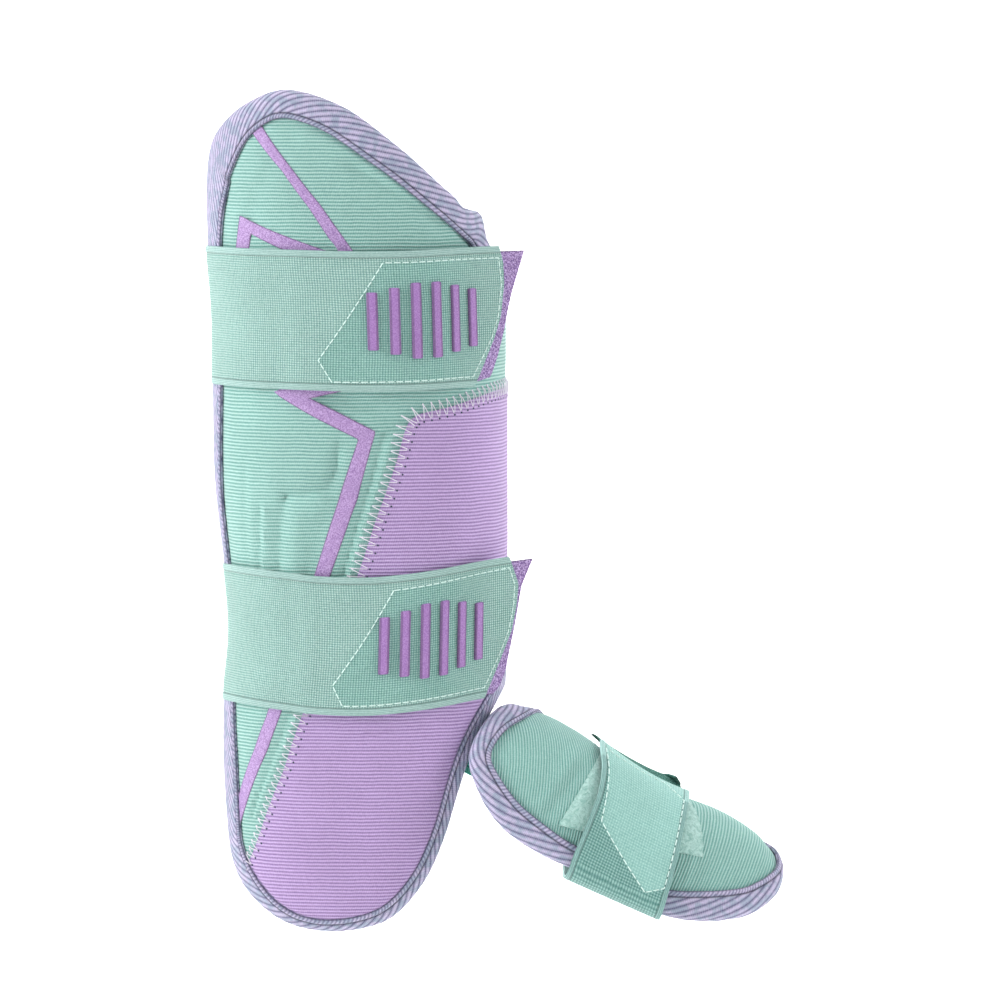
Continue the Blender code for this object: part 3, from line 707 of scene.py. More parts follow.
def bell(distance: Points, width: float) -> Points:
    """A soft hump, 1 at distance 0."""
    return np.exp(-((distance / width) ** 2))


def blend_sides(low: Points, high: Points, left: Points, right: Points) -> Place:
    """Fills four sides: low and high run in the first direction, left and right in the second.

    Returns:
        A function from two shares to a place on the flat pattern.
    """

    def read(side: Points, at: Points) -> Points:
        run = np.linspace(0.0, 1.0, len(side))
        return np.stack([np.interp(at, run, column) for column in side.T], axis=-1)

    def spots(u: Points, v: Points) -> Points:
        a, b = u[..., None], v[..., None]
        ruled = (1 - b) * read(low, u) + b * read(high, u) + (1 - a) * read(left, v) + a * read(right, v)
        lower = (1 - a) * (1 - b) * low[0] + a * (1 - b) * low[-1]
        upper = (1 - a) * b * high[0] + a * b * high[-1]
        return ruled - lower - upper

    return spots


class Surface:
    """A limb's surface that carries a flat pattern."""

    roll_margin = 0.024
    outline: Points

    def bare(self, spot: Points) -> Points:
        """Points of the limb's own surface."""
        raise NotImplementedError

    def roll(self, spot: Points) -> Points:
        """How far the margin rolls in at the very edge."""
        raise NotImplementedError

    @staticmethod
    def facing(surface: Callable[[Points], Points], spot: Points) -> Points:
        """Unit normals of a surface, pointing away from the limb."""
        step = 0.0005
        first, second = np.array((step, 0.0)), np.array((0.0, step))
        along = surface(spot + first) - surface(spot - first)
        across = surface(spot + second) - surface(spot - second)
        normal = np.cross(across, along)
        return normal / np.linalg.norm(normal, axis=-1, keepdims=True)

    def rolled(self, spot: Points) -> Points:
        """Points of the pad's outer face, whose margin rolls in towards the edge."""
        share = np.clip(1 - line_distance(spot, self.outline) / self.roll_margin, 0.0, 1.0) ** 2
        return self.bare(spot) - (share * self.roll(spot))[..., None] * self.facing(self.bare, spot)

    def at(self, spot: Points, depth: Points | float, facing_at: Points | None = None) -> Points:
        """Points at a depth outside the pad's outer face.

        Args:
            spot: Places on the flat pattern.
            depth: Depth of each.
            facing_at: Places to take the direction from, if not the same.

        Returns:
            Points in the row frame.
        """
        spot = np.asarray(spot, float)
        depth = np.broadcast_to(depth, spot.shape[:-1])[..., None]
        facing_at = spot if facing_at is None else facing_at
        return self.rolled(spot) + depth * self.facing(self.rolled, facing_at)


class Leg(Surface):
    """The lower leg that the shin guard wraps."""

    height = 0.394
    half_depth = 0.0685
    half_width = 0.058
    squareness = 0.03
    tip_to_origin = 0.2127
    edge_roll = 0.008
    per_degree = math.radians(1.0) * (half_depth + half_width) / 2

    def __init__(self) -> None:
        """Draws the shin guard's outline, clockwise as seen from outside."""
        rows = TOP_EDGE + INNER_EDGE + BOTTOM_EDGE + REAR_EDGE
        self.dense = smooth_line(self.flat(rows), 2400, closed=True)
        self.outline = self.dense[::12]

    def flat(self, places: Sequence[Spot]) -> Points:
        """Places of a table on the flat pattern."""
        return np.array([(p.around * self.per_degree, p.height * self.height) for p in places])

    def bare(self, spot: Points) -> Points:
        """Points of the leg's own surface."""
        angle = np.radians(spot[..., 0] / self.per_degree)
        shares = read_table(LEG_SECTIONS, spot[..., 1] / self.height)
        front = shares[..., 0] * self.half_depth
        rear = shares[..., 1] * self.half_depth
        width = shares[..., 2] * self.half_width
        square = self.squareness
        wave = (1 + square) * np.cos(angle) - square * np.cos(3 * angle)
        x = (front - rear) / 2 + (front + rear) / 2 * wave
        y = -width * ((1 + square) * np.sin(angle) + square * np.sin(3 * angle))
        return np.stack((x, y, spot[..., 1] - self.tip_to_origin), axis=-1)

    def roll(self, spot: Points) -> Points:
        """How far the margin rolls in, which grows towards the ankle."""
        return read_table(EDGE_ROLLS, spot[..., 1] / self.height)[..., 0] * self.edge_roll


class Instep(Surface):
    """The instep that the foot guard covers."""

    length = 0.1573
    half_width = 0.038
    depth = 0.0575
    crest_rise = 0.0062
    heel_overlap = 0.0124
    edge_roll = 0.002
    slope = math.radians(30.95)
    heel = np.array((0.0754, -0.020, -0.1058))
    forward = np.array((math.cos(slope), 0.0, -math.sin(slope)))
    down = np.array((-math.sin(slope), 0.0, -math.cos(slope)))
    side = np.array((0.0, -1.0, 0.0))
    per_degree = math.radians(1.0) * (half_width + depth) / 2

    def __init__(self) -> None:
        """Draws the foot guard's outline, clockwise as seen from outside."""
        rows = FOOT_TOE_EDGE + FOOT_FAR_EDGE + FOOT_HEEL_EDGE + FOOT_NEAR_EDGE
        self.dense = smooth_line(self.flat(rows)[::-1], 1200, closed=True)
        self.outline = self.dense[::24]

    def flat(self, places: Sequence[FootSpot]) -> Points:
        """Places of a table on the flat pattern."""
        return np.array([(p.along * self.length, p.around * self.per_degree) for p in places])

    def bare(self, spot: Points) -> Points:
        """Points of the instep's own surface."""
        angle = np.radians(spot[..., 1] / self.per_degree)
        shares = read_table(INSTEP_SECTIONS, spot[..., 0] / self.length)
        sink = self.depth * (1 - np.cos(angle)) - shares[..., 0] * self.crest_rise * np.cos(angle) ** 2
        reach = shares[..., 1] * self.half_width * np.sin(angle)
        along = spot[..., 0] - self.heel_overlap
        return self.heel + self.spread(along, sink, reach)

    def spread(self, along: Points, sink: Points, reach: Points) -> Points:
        """Offsets from the heel for distances forward, down and towards the outer side."""
        return along[..., None] * self.forward + sink[..., None] * self.down + reach[..., None] * self.side

    def roll(self, spot: Points) -> Points:
        """How far the margin rolls in."""
        return np.full(spot.shape[:-1], self.edge_roll)


def select_only(piece: bpy.types.Object) -> None:
    """Makes a piece the only selected and the active one."""
    bpy.ops.object.select_all(action="DESELECT")
    piece.select_set(True)
    bpy.context.view_layer.objects.active = piece


def add_modifier(piece: bpy.types.Object, kind: str, **settings: object) -> None:
    """Adds a modifier with its settings and applies it."""
    select_only(piece)
    modifier = piece.modifiers.new(kind.lower(), kind)
    for name, value in settings.items():
        setattr(modifier, name, value)
    bpy.ops.object.modifier_apply(modifier=modifier.name)


def lay_grid(name: str, columns: int, rows: int, place: Place, flat: Place) -> bpy.types.Object:
    """Lays a grid where place puts it and keeps its flat pattern as a UV map.

    Args:
        name: The piece's name.
        columns: Cells in the first direction.
        rows: Cells in the second direction.
        place: Points in the row frame for two shares.
        flat: Pattern coordinates for two shares, in metres.

    Returns:
        The new piece.
    """
    bpy.ops.object.select_all(action="DESELECT")
    bpy.ops.mesh.primitive_grid_add(x_subdivisions=columns, y_subdivisions=rows, size=2.0)
    piece = bpy.context.object
    piece.name = name
    mesh = piece.data
    mesh.name = name
    corners = np.empty(len(mesh.vertices) * 3)
    mesh.vertices.foreach_get("co", corners)
    shares = (corners.reshape(-1, 3)[:, :2] + 1) / 2
    u, v = shares[:, 0], shares[:, 1]
    mesh.vertices.foreach_set("co", place(u, v).astype(float).ravel())
    layer = mesh.uv_layers.active or mesh.uv_layers.new()
    layer.name = PATTERN
    index = np.empty(len(mesh.loops), np.int32)
    mesh.loops.foreach_get("vertex_index", index)
    layer.data.foreach_set("uv", flat(u, v)[index].astype(float).ravel())
    mesh.update()
    return piece


def mark(piece: bpy.types.Object, name: str, values: Points) -> None:
    """Stores a number at each corner of a mesh for its material."""
    layer = piece.data.attributes.new(name, "FLOAT", "POINT")
    layer.data.foreach_set("value", values.astype(np.float32))


def read_spots(piece: bpy.types.Object) -> Points:
    """The corners of a mesh in the row frame."""
    corners = np.empty(len(piece.data.vertices) * 3)
    piece.data.vertices.foreach_get("co", corners)
    return corners.reshape(-1, 3)


def face_outwards(piece: bpy.types.Object, outward: Points) -> None:
    """Turns all faces over if they look against the given directions at the corners."""
    normals = np.empty(len(piece.data.vertices) * 3)
    piece.data.vertices.foreach_get("normal", normals)
    if (normals.reshape(-1, 3) * outward).sum() < 0:
        piece.data.flip_normals()


def give_wall(piece: bpy.types.Object, thickness: float, side: Side, inner: int = 0) -> None:
    """Gives a laid-out face its thickness.

    Args:
        piece: The piece.
        thickness: The wall in metres.
        side: Which way it grows.
        inner: Slot offset of the inner face's finish.
    """
    add_modifier(
        piece, "SOLIDIFY", thickness=thickness, offset=side.value, use_even_offset=False, material_offset=inner
    )


def smooth(piece: bpy.types.Object, degrees: float = 40.0) -> None:
    """Shades a piece smooth but for its sharp edges."""
    select_only(piece)
    bpy.ops.object.shade_smooth_by_angle(angle=math.radians(degrees))


def draw_threads(name: str, threads: Sequence[Points], radius: float) -> bpy.types.Object:
    """Makes short threads, each a thin round tube with closed ends.

    Args:
        name: The piece's name.
        threads: The points of each thread's middle line.
        radius: A thread's radius.

    Returns:
        One mesh of all the threads.
    """
    curve = bpy.data.curves.new(name, "CURVE")
    curve.dimensions = "3D"
    curve.bevel_depth = radius
    curve.bevel_resolution = 1
    curve.use_fill_caps = True
    for points in threads:
        spline = curve.splines.new("POLY")
        spline.points.add(len(points) - 1)
        spline.points.foreach_set("co", np.column_stack((points, np.ones(len(points)))).ravel())
    piece = bpy.data.objects.new(name, curve)
    bpy.context.scene.collection.objects.link(piece)
    select_only(piece)
    bpy.ops.object.convert(target="MESH")
    piece = bpy.context.object
    bpy.ops.object.shade_smooth()
    return piece


def dress(piece: bpy.types.Object, slot: str, *nodes: str) -> bpy.types.Object:
    """Hangs a piece on the guard in the place of its solids.

    Args:
        piece: The finished piece.
        slot: The record's material slot; not used.
        nodes: The solids that it stands for.

    Returns:
        The same piece.
    """
    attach(piece, "root")
    if nodes:
        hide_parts(*nodes)
    LOG.info("%s: %d faces, stands for %s", piece.name, len(piece.data.polygons), nodes or "nothing")
    return piece


def srgb(red: int, green: int, blue: int) -> Colour:
    """A screen colour as linear light."""
    linear = [((c / 255 + 0.055) / 1.055) ** 2.4 if c > 10 else c / 255 / 12.92 for c in (red, green, blue)]
    return (*linear, 1.0)


class Wire:
    """A shader value that takes arithmetic, each step a Math node."""

    def __init__(self, shader: "Shader", socket: bpy.types.NodeSocket) -> None:
        """Wraps an output socket."""
        self.shader = shader
        self.socket = socket

    def math(self, operation: str, *others: "Wire | float") -> "Wire":
        """Applies a Math node's operation to this value and others."""
        values = {index: value for index, value in enumerate((self, *others))}
        return self.shader.node("ShaderNodeMath", {"operation": operation}, values)

    def __add__(self, other: "Wire | float") -> "Wire":
        """Sum."""
        return self.math("ADD", other)

    def __radd__(self, other: float) -> "Wire":
        """Sum with a number on the left."""
        return self.math("ADD", other)

    def __sub__(self, other: "Wire | float") -> "Wire":
        """Difference."""
        return self.math("SUBTRACT", other)

    def __rsub__(self, other: float) -> "Wire":
        """A number less this value."""
        return (self * -1.0) + other

    def __mul__(self, other: "Wire | float") -> "Wire":
        """Product."""
        return self.math("MULTIPLY", other)

    def __rmul__(self, other: float) -> "Wire":
        """Product with a number on the left."""
        return self.math("MULTIPLY", other)

    def __truediv__(self, other: "Wire | float") -> "Wire":
        """Quotient."""
        return self.math("DIVIDE", other)

    def wave(self) -> "Wire":
        """A cosine between 0 and 1 with a period of 1."""
        return (self * (2 * math.pi)).math("COSINE") * 0.5 + 0.5

    def fraction(self) -> "Wire":
        """The part after the point."""
        return self.math("FRACT")

    def power(self, exponent: float) -> "Wire":
        """This value raised to a power."""
        return self.math("POWER", exponent)

    def lowest(self, other: "Wire | float") -> "Wire":
        """The smaller of two values."""
        return self.math("MINIMUM", other)

    def ramp(self, low: float, high: float) -> "Wire":
        """A smooth step from 0 at low to 1 at high."""
        settings = {"interpolation_type": "SMOOTHSTEP", "clamp": True}
        values = {"Value": self, "From Min": low, "From Max": high}
        return self.shader.node("ShaderNodeMapRange", settings, values)


class Shader:
    """A material under construction."""

    def __init__(self, name: str) -> None:
        """Starts a material with a principled surface."""
        self.material = bpy.data.materials.new(name)
        self.material.use_nodes = True
        self.tree = self.material.node_tree
        self.surface = self.tree.nodes["Principled BSDF"]

    def node(self, kind: str, settings: dict, values: dict, output: int | str = 0) -> Wire:
        """Adds a node.

        Args:
            kind: The node's type.
            settings: Its properties, set first.
            values: Numbers, colours or wires for its inputs, by name or number.
            output: The output that is returned.

        Returns:
            The output as a wire.
        """
        made = self.tree.nodes.new(kind)
        for name, value in settings.items():
            setattr(made, name, value)
        for name, value in values.items():
            self.feed(made.inputs[name], value)
        return Wire(self, made.outputs[output])

    def feed(self, socket: bpy.types.NodeSocket, value: object) -> None:
        """Links a wire to a socket, or sets its value."""
        if isinstance(value, Wire):
            self.tree.links.new(value.socket, socket)
        else:
            socket.default_value = value

    def pattern(self) -> tuple[Wire, Wire, Wire]:
        """The piece's flat pattern: its vector and both coordinates, in metres."""
        vector = self.node("ShaderNodeUVMap", {"uv_map": PATTERN}, {})
        first = self.node("ShaderNodeSeparateXYZ", {}, {0: vector}, "X")
        second = self.node("ShaderNodeSeparateXYZ", {}, {0: vector}, "Y")
        return vector, first, second

    def noise(self, vector: Wire, scale: float, detail: float = 2.0) -> Wire:
        """Cloudy noise between 0 and 1."""
        settings = {"noise_dimensions": "3D"}
        return self.node("ShaderNodeTexNoise", settings, {"Vector": vector, "Scale": scale, "Detail": detail})

    def object_place(self) -> Wire:
        """The place on the object."""
        return self.node("ShaderNodeTexCoord", {}, {}, "Object")

    def mix(self, share: Wire | float, first: object, second: object) -> Wire:
        """Blends two colours."""
        settings = {"data_type": "RGBA"}
        made = self.tree.nodes.new("ShaderNodeMix")
        for name, value in settings.items():
            setattr(made, name, value)
        self.feed(made.inputs[0], share)
        self.feed(made.inputs[6], first)
        self.feed(made.inputs[7], second)
        return Wire(self, made.outputs[2])

    def shade(self, colour: Wire, amount: Wire) -> Wire:
        """Multiplies a colour by a grey value."""
        grey = self.node("ShaderNodeCombineXYZ", {}, {0: amount, 1: amount, 2: amount})
        return self.node("ShaderNodeVectorMath", {"operation": "MULTIPLY"}, {0: colour, 1: grey})

    def tint(self, colour: Wire, channels: tuple[float, float, float]) -> Wire:
        """Multiplies a colour's channels by fixed numbers."""
        return self.node("ShaderNodeVectorMath", {"operation": "MULTIPLY"}, {0: colour, 1: channels})

    def bump(self, height: Wire, distance: float, strength: float = 1.0) -> Wire:
        """Normals bent by a height between 0 and 1."""
        values = {"Height": height, "Distance": distance, "Strength": strength}
        return self.node("ShaderNodeBump", {}, values)

    def finish(self, colour: object, roughness: float, normal: Wire | None, **fixed: float) -> bpy.types.Material:
        """Connects the surface.

        Args:
            colour: Base colour.
            roughness: Roughness all over.
            normal: Bent normals, if any.
            fixed: Other inputs of the surface, set on their own sockets.

        Returns:
            The finished material.
        """
        self.feed(self.surface.inputs["Base Color"], colour)
        self.surface.inputs["Roughness"].default_value = roughness
        for name, value in fixed.items():
            self.surface.inputs[name.replace("_", " ").title()].default_value = value
        if normal is not None:
            self.feed(self.surface.inputs["Normal"], normal)
        return self.material


@dataclass(frozen=True)
class RibbedCloth:
    """Cloth with fine level ribs, stretched over foam."""

    name: str
    crest: Colour
    groove: Colour
    pitch: float = 0.00156
    yarn: float = 0.0009
    yarn_share: float = 0.20
    relief: float = 0.00030

    def make(self) -> bpy.types.Material:
        """Builds the material."""
        shader = Shader(self.name)
        vector, first, second = shader.pattern()
        place = shader.object_place()
        drift = shader.noise(place, 60.0) * 0.0010
        rib = ((second + drift) / self.pitch).wave()
        yarn = (first / self.yarn + (second / self.pitch) * 0.5).wave()
        fleck = shader.noise(place, 1400.0, 1.0)
        cloud = shader.noise(place, 45.0, 3.0)
        share = rib * 0.82 + yarn * self.yarn_share + fleck * 0.55 - 0.30
        colour = shader.mix(share, self.groove, self.crest)
        colour = shader.shade(colour, cloud * 0.20 + 0.90)
        height = rib * 0.8 + yarn * (self.yarn_share * 0.8) + fleck * 0.2
        normal = shader.bump(height, self.relief)
        return shader.finish(colour, 0.88, normal, sheen_weight=0.2, sheen_roughness=0.5)


@dataclass(frozen=True)
class Elastic:
    """Wide woven elastic with smooth selvedges and painted shade in the groove beside each; the part sewn over a
    patch has its own tone, which on a calf strap fades out towards the free end as painted light.
    """

    name: str
    raised: Colour
    hollow: Colour
    width: float
    sewn: tuple[float, float, float]
    pitch: float = 0.00107
    column: float = 0.00102
    selvedge: float = 0.0031
    calm: float = 0.0
    relief: float = 0.00030

    def make(self) -> bpy.types.Material:
        """Builds the material."""
        shader = Shader(self.name)
        vector, first, second = shader.pattern()
        place = shader.object_place()
        drift = shader.noise(place, 90.0) * 0.0008
        row = (second + drift) / self.pitch
        column = (first + drift) / self.column
        weave = (row.wave() * 0.68 + 0.32) * (column.wave() * 0.66 + 0.34)
        edge = second.lowest(self.width - second)
        band = edge.ramp(self.selvedge + 0.0001, self.selvedge - 0.0001)
        cords = (second / 0.00078).wave() * 0.50 + 0.28
        over = shader.node("ShaderNodeAttribute", {"attribute_name": "sewn"}, {}, "Fac")
        weave = weave * (1.0 - over * self.calm) + over * (self.calm * 0.5)
        woven = weave * (1.0 - band) + cords * band
        # Painted shade: the colour darkens in the groove beside each selvedge.
        groove = (edge - self.selvedge).math("ABSOLUTE").ramp(0.00045, 0.0001)
        fleck = shader.noise(place, 1300.0, 1.0)
        cloud = shader.noise(place, 50.0, 3.0)
        share = woven * 0.98 + fleck * 0.45 - 0.24
        colour = shader.mix(share, self.hollow, self.raised)
        colour = shader.mix(band * 0.10, colour, srgb(168, 188, 196))
        # The sewn area's own tone; on the calf straps its mark fades out towards the free end, which paints light
        # on that end.
        colour = shader.mix(over, colour, shader.tint(colour, self.sewn))
        # Random cloud tone, times the painted groove shade.
        colour = shader.shade(colour, (cloud * 0.16 + 0.92) * (1.0 - groove * 0.42))
        normal = shader.bump(woven * (1.0 - groove) + fleck * 0.15, self.relief)
        return shader.finish(colour, 0.85, normal, sheen_weight=0.2, sheen_roughness=0.5)


@dataclass(frozen=True)
class TwillTape:
    """Folded binding tape with slanting cords, a chained inner border, and painted shade in its stitch groove and
    needle holes.
    """

    name: str
    cord: Colour
    cool: Colour
    groove: Colour
    pitch: float = 0.00250
    slant: float = math.radians(27.0)
    border: float = 0.0024

    def phase(self, run: Points, across: Points) -> Points:
        """Number of cords up to a point, for the mesh's own ridges."""
        return (run * math.sin(self.slant) - across * math.cos(self.slant)) / self.pitch

    def make(self) -> bpy.types.Material:
        """Builds the material."""
        shader = Shader(self.name)
        vector, run, across = shader.pattern()
        place = shader.object_place()
        phase = (run * math.sin(self.slant) - across * math.cos(self.slant)) / self.pitch
        along = (run * math.cos(self.slant) + across * math.sin(self.slant)) / 0.00085
        ridge = phase.wave().power(0.45)
        strand = (along + phase * 0.5).wave()
        twill = ridge * 0.85 + strand * 0.22
        chain = ((run - across * 0.9) / 0.0021).wave()
        flat = (across / self.border * 2.0 - 1.0).math("ABSOLUTE")
        braid = (1.0 - flat * flat * 0.6) * (chain * 0.65 + 0.35)
        body = across.ramp(self.border - 0.0001, self.border + 0.0002)
        height = twill * body + braid * (1.0 - body)
        # Painted shade: the colour darkens in the stitch groove at the border and in the needle holes along the
        # inner edge, where the tape meets the cloth.
        stitch = (across - self.border).math("ABSOLUTE").ramp(0.00055, 0.0001)
        holes = ((run / 0.0021).wave() * 0.6 + 0.4) * across.ramp(0.0006, 0.0001)
        fleck = shader.noise(place, 1500.0, 1.0)
        share = height * 1.0 + fleck * 0.5 - 0.32
        light = shader.mix(shader.noise(place, 260.0, 2.0).ramp(0.40, 0.62), self.cord, self.cool)
        colour = shader.mix(share, self.groove, light)
        dark = (1.0 - stitch * 0.50) * (1.0 - holes * 0.65)
        colour = shader.shade(colour, dark * (shader.noise(place, 55.0) * 0.18 + 0.91))
        normal = shader.bump(height * (1.0 - stitch) + fleck * 0.12, 0.00030)
        return shader.finish(colour, 0.82, normal, sheen_weight=0.2, sheen_roughness=0.5)


@dataclass(frozen=True)
class Speckled:
    """Film, moulded rubber or hook tape: a speckled finish, with painted shade darkening its rim."""

    name: str
    light: Colour
    dark: Colour
    width: float
    rim: float = 0.0005
    grain: float = 1900.0
    relief: float = 0.00008
    roughness: float = 0.5

    def make(self) -> bpy.types.Material:
        """Builds the material."""
        shader = Shader(self.name)
        vector, first, second = shader.pattern()
        place = shader.object_place()
        fleck = shader.noise(place, self.grain, 1.0).ramp(0.36, 0.66)
        cloud = shader.noise(place, 70.0, 2.0)
        colour = shader.mix(fleck, self.dark, self.light)
        edge = second.lowest(self.width - second)
        # Painted shade: a dark outline along the sides.
        rim = edge.ramp(self.rim * 1.3, self.rim * 0.6)
        colour = shader.shade(colour, (cloud * 0.12 + 0.94) * (1.0 - rim * 0.5))
        normal = shader.bump(fleck, self.relief)
        return shader.finish(colour, self.roughness, normal)


@dataclass(frozen=True)
class Brushed:
    """Brushed loop cloth or a plain knit lining."""

    name: str
    tuft: Colour
    base: Colour
    scale: float = 420.0
    relief: float = 0.0005

    def make(self) -> bpy.types.Material:
        """Builds the material."""
        shader = Shader(self.name)
        place = shader.object_place()
        values = {"Vector": place, "Scale": self.scale, "Detail": 4.0, "Roughness": 0.7, "Distortion": 1.2}
        tufts = shader.node("ShaderNodeTexNoise", {"noise_dimensions": "3D"}, values)
        hairs = shader.noise(place, self.scale * 4.5, 2.0)
        share = tufts.ramp(0.35, 0.65) * 0.65 + hairs * 0.5 - 0.08
        colour = shader.mix(share, self.base, self.tuft)
        normal = shader.bump(tufts * 0.7 + hairs * 0.4, self.relief)
        return shader.finish(colour, 0.95, normal, sheen_weight=0.5, sheen_roughness=0.6)


@dataclass(frozen=True)
class Plain:
    """Sewing thread, the studio floor and other even finishes."""

    name: str
    colour: Colour
    roughness: float = 0.7

    def make(self) -> bpy.types.Material:
        """Builds the material."""
        return Shader(self.name).finish(self.colour, self.roughness, None)


@dataclass
class ShinGuard:
    """The padded wall round the leg with its panel, stripes, seam and binding."""

    leg: Leg
    wall: float = 0.008
    hidden_edge: float = 0.0068
    puff: float = 0.00035
    crease_share: float = 1.25
    panel_rise: float = 0.0013
    panel_wall: float = 0.0008
    stripe_width: float = 0.008
    film_wall: float = 0.0005
    seam_pitch: float = 0.00375
    seam_halves: tuple[float, float] = (0.0042, 0.0034)
    mint: bpy.types.Material = field(init=False)
    lilac: bpy.types.Material = field(init=False)

    def tape_reach(self, spot: Points) -> Points:
        """How far inside the edge the binding ends, beside each place."""
        line = self.leg.outline
        share = run_along(line) / run_along(line)[-1]
        near = np.linalg.norm(spot[..., None, :] - line, axis=-1).argmin(-1)
        return read_table(SHIN_TAPE, share[near])[..., 0]

    def relief(self, spot: Points) -> Points:
        """Rise of the pad's cover over its foam: puffed, creased, and drawn in beside the stripes."""
        rise = np.full(spot.shape[:-1], self.puff)
        for crease in PAD_CREASES:
            rise += self.crease_share * crease.rise * bell(line_distance(spot, self.leg.flat(crease.line)), crease.width)
        for stripe in (TOP_STRIPE, ZIGZAG_STRIPE, CHEVRON_STRIPE):
            left, right = self.stripe_sides(stripe)
            away = line_distance(spot, (left + right) / 2) - self.stripe_width / 2
            rise += 0.0004 * bell(away - 0.0030, 0.0018)
            rise = np.where(away < 0.0012, np.minimum(rise, self.puff), rise)
        rise -= 0.0004 * bell(line_distance(spot, self.seam_line()), 0.0045)
        edge = line_distance(spot, self.leg.outline)
        free = eased((edge - self.tape_reach(spot) + 0.0015) / 0.0045)
        return rise * free - 0.0002 * (1 - free)

    def seam_line(self) -> Points:
        """The seam between panel and pad, from its inner end over the corner to its low end."""
        return self.leg.flat(SEAM_TOP + SEAM_SIDE[-2::-1])

    def sides(self, edge: Points) -> tuple[Points, Points, Points, Points]:
        """The pad's top, inner, lower and rear sides along its edge line."""
        leg = self.leg
        rows = ((TOP_EDGE, 0), (TOP_EDGE, -1), (INNER_EDGE, -1), (BOTTOM_EDGE, -1))
        corners = [nearest(leg.dense, leg.flat(row)[at]) for row, at in rows]
        pairs = zip(corners, corners[1:] + corners[:1])
        return tuple(even_line(stretch(edge, start, end), 400) for start, end in pairs)

    def make_pad(self, cover: bpy.types.Material, lining: bpy.types.Material) -> bpy.types.Object:
        """Builds the padded wall."""
        leg = self.leg
        top, inner, low, rear = self.sides(inset(leg.dense, self.hidden_edge))
        spots = blend_sides(low[::-1], top, rear, inner[::-1])
        place = lambda u, v: leg.at(spots(u, v), self.relief(spots(u, v)))
        pad = lay_grid("shin_pad_cover", 150, 220, place, spots)
        pad.data.materials.append(cover)
        pad.data.materials.append(lining)
        self.turn_out(pad)
        give_wall(pad, self.wall, Side.INWARD, inner=1)
        smooth(pad)
        return dress(pad, "mint_cloth", "shin_pad")

    def turn_out(self, piece: bpy.types.Object) -> None:
        """Turns a piece's faces away from the leg's axis."""
        corners = np.empty(len(piece.data.vertices) * 3)
        piece.data.vertices.foreach_get("co", corners)
        outward = corners.reshape(-1, 3) * np.array((1.0, 1.0, 0.0))
        face_outwards(piece, outward)

    def panel_depth(self, spot: Points) -> Points:
        """Depth of the panel's face: creased, and sunk at the seam and under the binding."""
        rise = np.full(spot.shape[:-1], self.panel_rise)
        for crease in PANEL_CREASES:
            rise += crease.rise * bell(line_distance(spot, self.leg.flat(crease.line)), crease.width)
        at_seam = bell(line_distance(spot, self.seam_line()), 0.0016)
        from_edge = line_distance(spot, self.leg.outline)
        under_tape = 1 - eased((from_edge - self.tape_reach(spot) + 0.0012) / 0.0030)
        return rise - np.maximum(0.0007 * at_seam, 0.0009 * under_tape)

    def make_panel(self, cloth: bpy.types.Material) -> bpy.types.Object:
        """Builds the ribbed panel, laid out in level rows."""
        leg = self.leg
        left = smooth_line(leg.flat(PANEL_REAR + SEAM_SIDE), 900)
        right = smooth_line(leg.flat(PANEL_FRONT), 900)
        left, right = match_heights(left, right, 400)
        top = even_line(smooth_line(leg.flat(SEAM_TOP[::-1]), 400), 300)
        low = np.linspace(left[0], right[0], 30)
        spots = blend_sides(low, top, left, right)
        place = lambda u, v: leg.at(spots(u, v), self.panel_depth(spots(u, v)))
        panel = lay_grid("front_panel_cloth", 130, 200, place, spots)
        panel.data.materials.append(cloth)
        self.turn_out(panel)
        give_wall(panel, self.panel_wall * 0.5, Side.INWARD)
        smooth(panel)
        return dress(panel, "lilac_cloth", "front_panel")

    def stripe_sides(self, rows: Sequence[StripeSpot]) -> tuple[Points, Points]:
        """Left and right lines of a stripe on the flat pattern."""
        left = self.leg.flat([Spot(row.left_around, row.left_height) for row in rows])
        right = self.leg.flat([Spot(row.right_around, row.right_height) for row in rows])
        return left, right

    def make_stripe(
        self, name: str, rows: Sequence[StripeSpot], film: bpy.types.Material
    ) -> bpy.types.Object:
        """Builds a film stripe with rounded sides."""
        left, right = self.stripe_sides(rows)
        corners = run_along((left + right) / 2)

        def spots(u: Points, v: Points) -> Points:
            """Places between the stripe's two sides."""
            at = u * corners[-1]
            sides = [
                np.stack([np.interp(at, corners, column) for column in side.T], axis=-1)
                for side in (left, right)
            ]
            return sides[0] * (1 - v[:, None]) + sides[1] * v[:, None]

        def place(u: Points, v: Points) -> Points:
            """Points of the film, thinner at its sides."""
            rise = self.puff + 0.00045 - 0.00030 * np.abs(2 * v - 1) ** 6
            return self.leg.at(spots(u, v), rise)

        flat = lambda u, v: np.column_stack((u * corners[-1], v * self.stripe_width))
        count = int(corners[-1] / 0.0012)
        stripe = lay_grid(f"{name}_film", count, 10, place, flat)
        stripe.data.materials.append(film)
        self.turn_out(stripe)
        give_wall(stripe, 0.0004, Side.INWARD)
        smooth(stripe)
        return dress(stripe, "purple_film", name)

    def seam_points(self) -> tuple[Points, Points]:
        """Needle holes on the pad's side and on the panel's side of the seam."""
        seam = even_line(smooth_line(self.seam_line(), 800), 800)
        run = run_along(seam)
        starts = np.arange(0.004, run[-1] - self.seam_pitch, self.seam_pitch)
        direction = np.gradient(seam, axis=0)
        direction /= np.linalg.norm(direction, axis=1, keepdims=True)
        normal = np.column_stack((-direction[:, 1], direction[:, 0]))
        holes = []
        for shift, side in ((0.0, 1.0), (self.seam_pitch * 0.42, -1.0)):
            at = starts + shift
            middle = np.column_stack([np.interp(at, run, column) for column in seam.T])
            away = np.column_stack([np.interp(at, run, column) for column in normal.T])
            half = np.interp(at, (0.0, run[-1]), self.seam_halves)[:, None]
            holes.append(middle + side * half * away)
        return holes[0], holes[1]

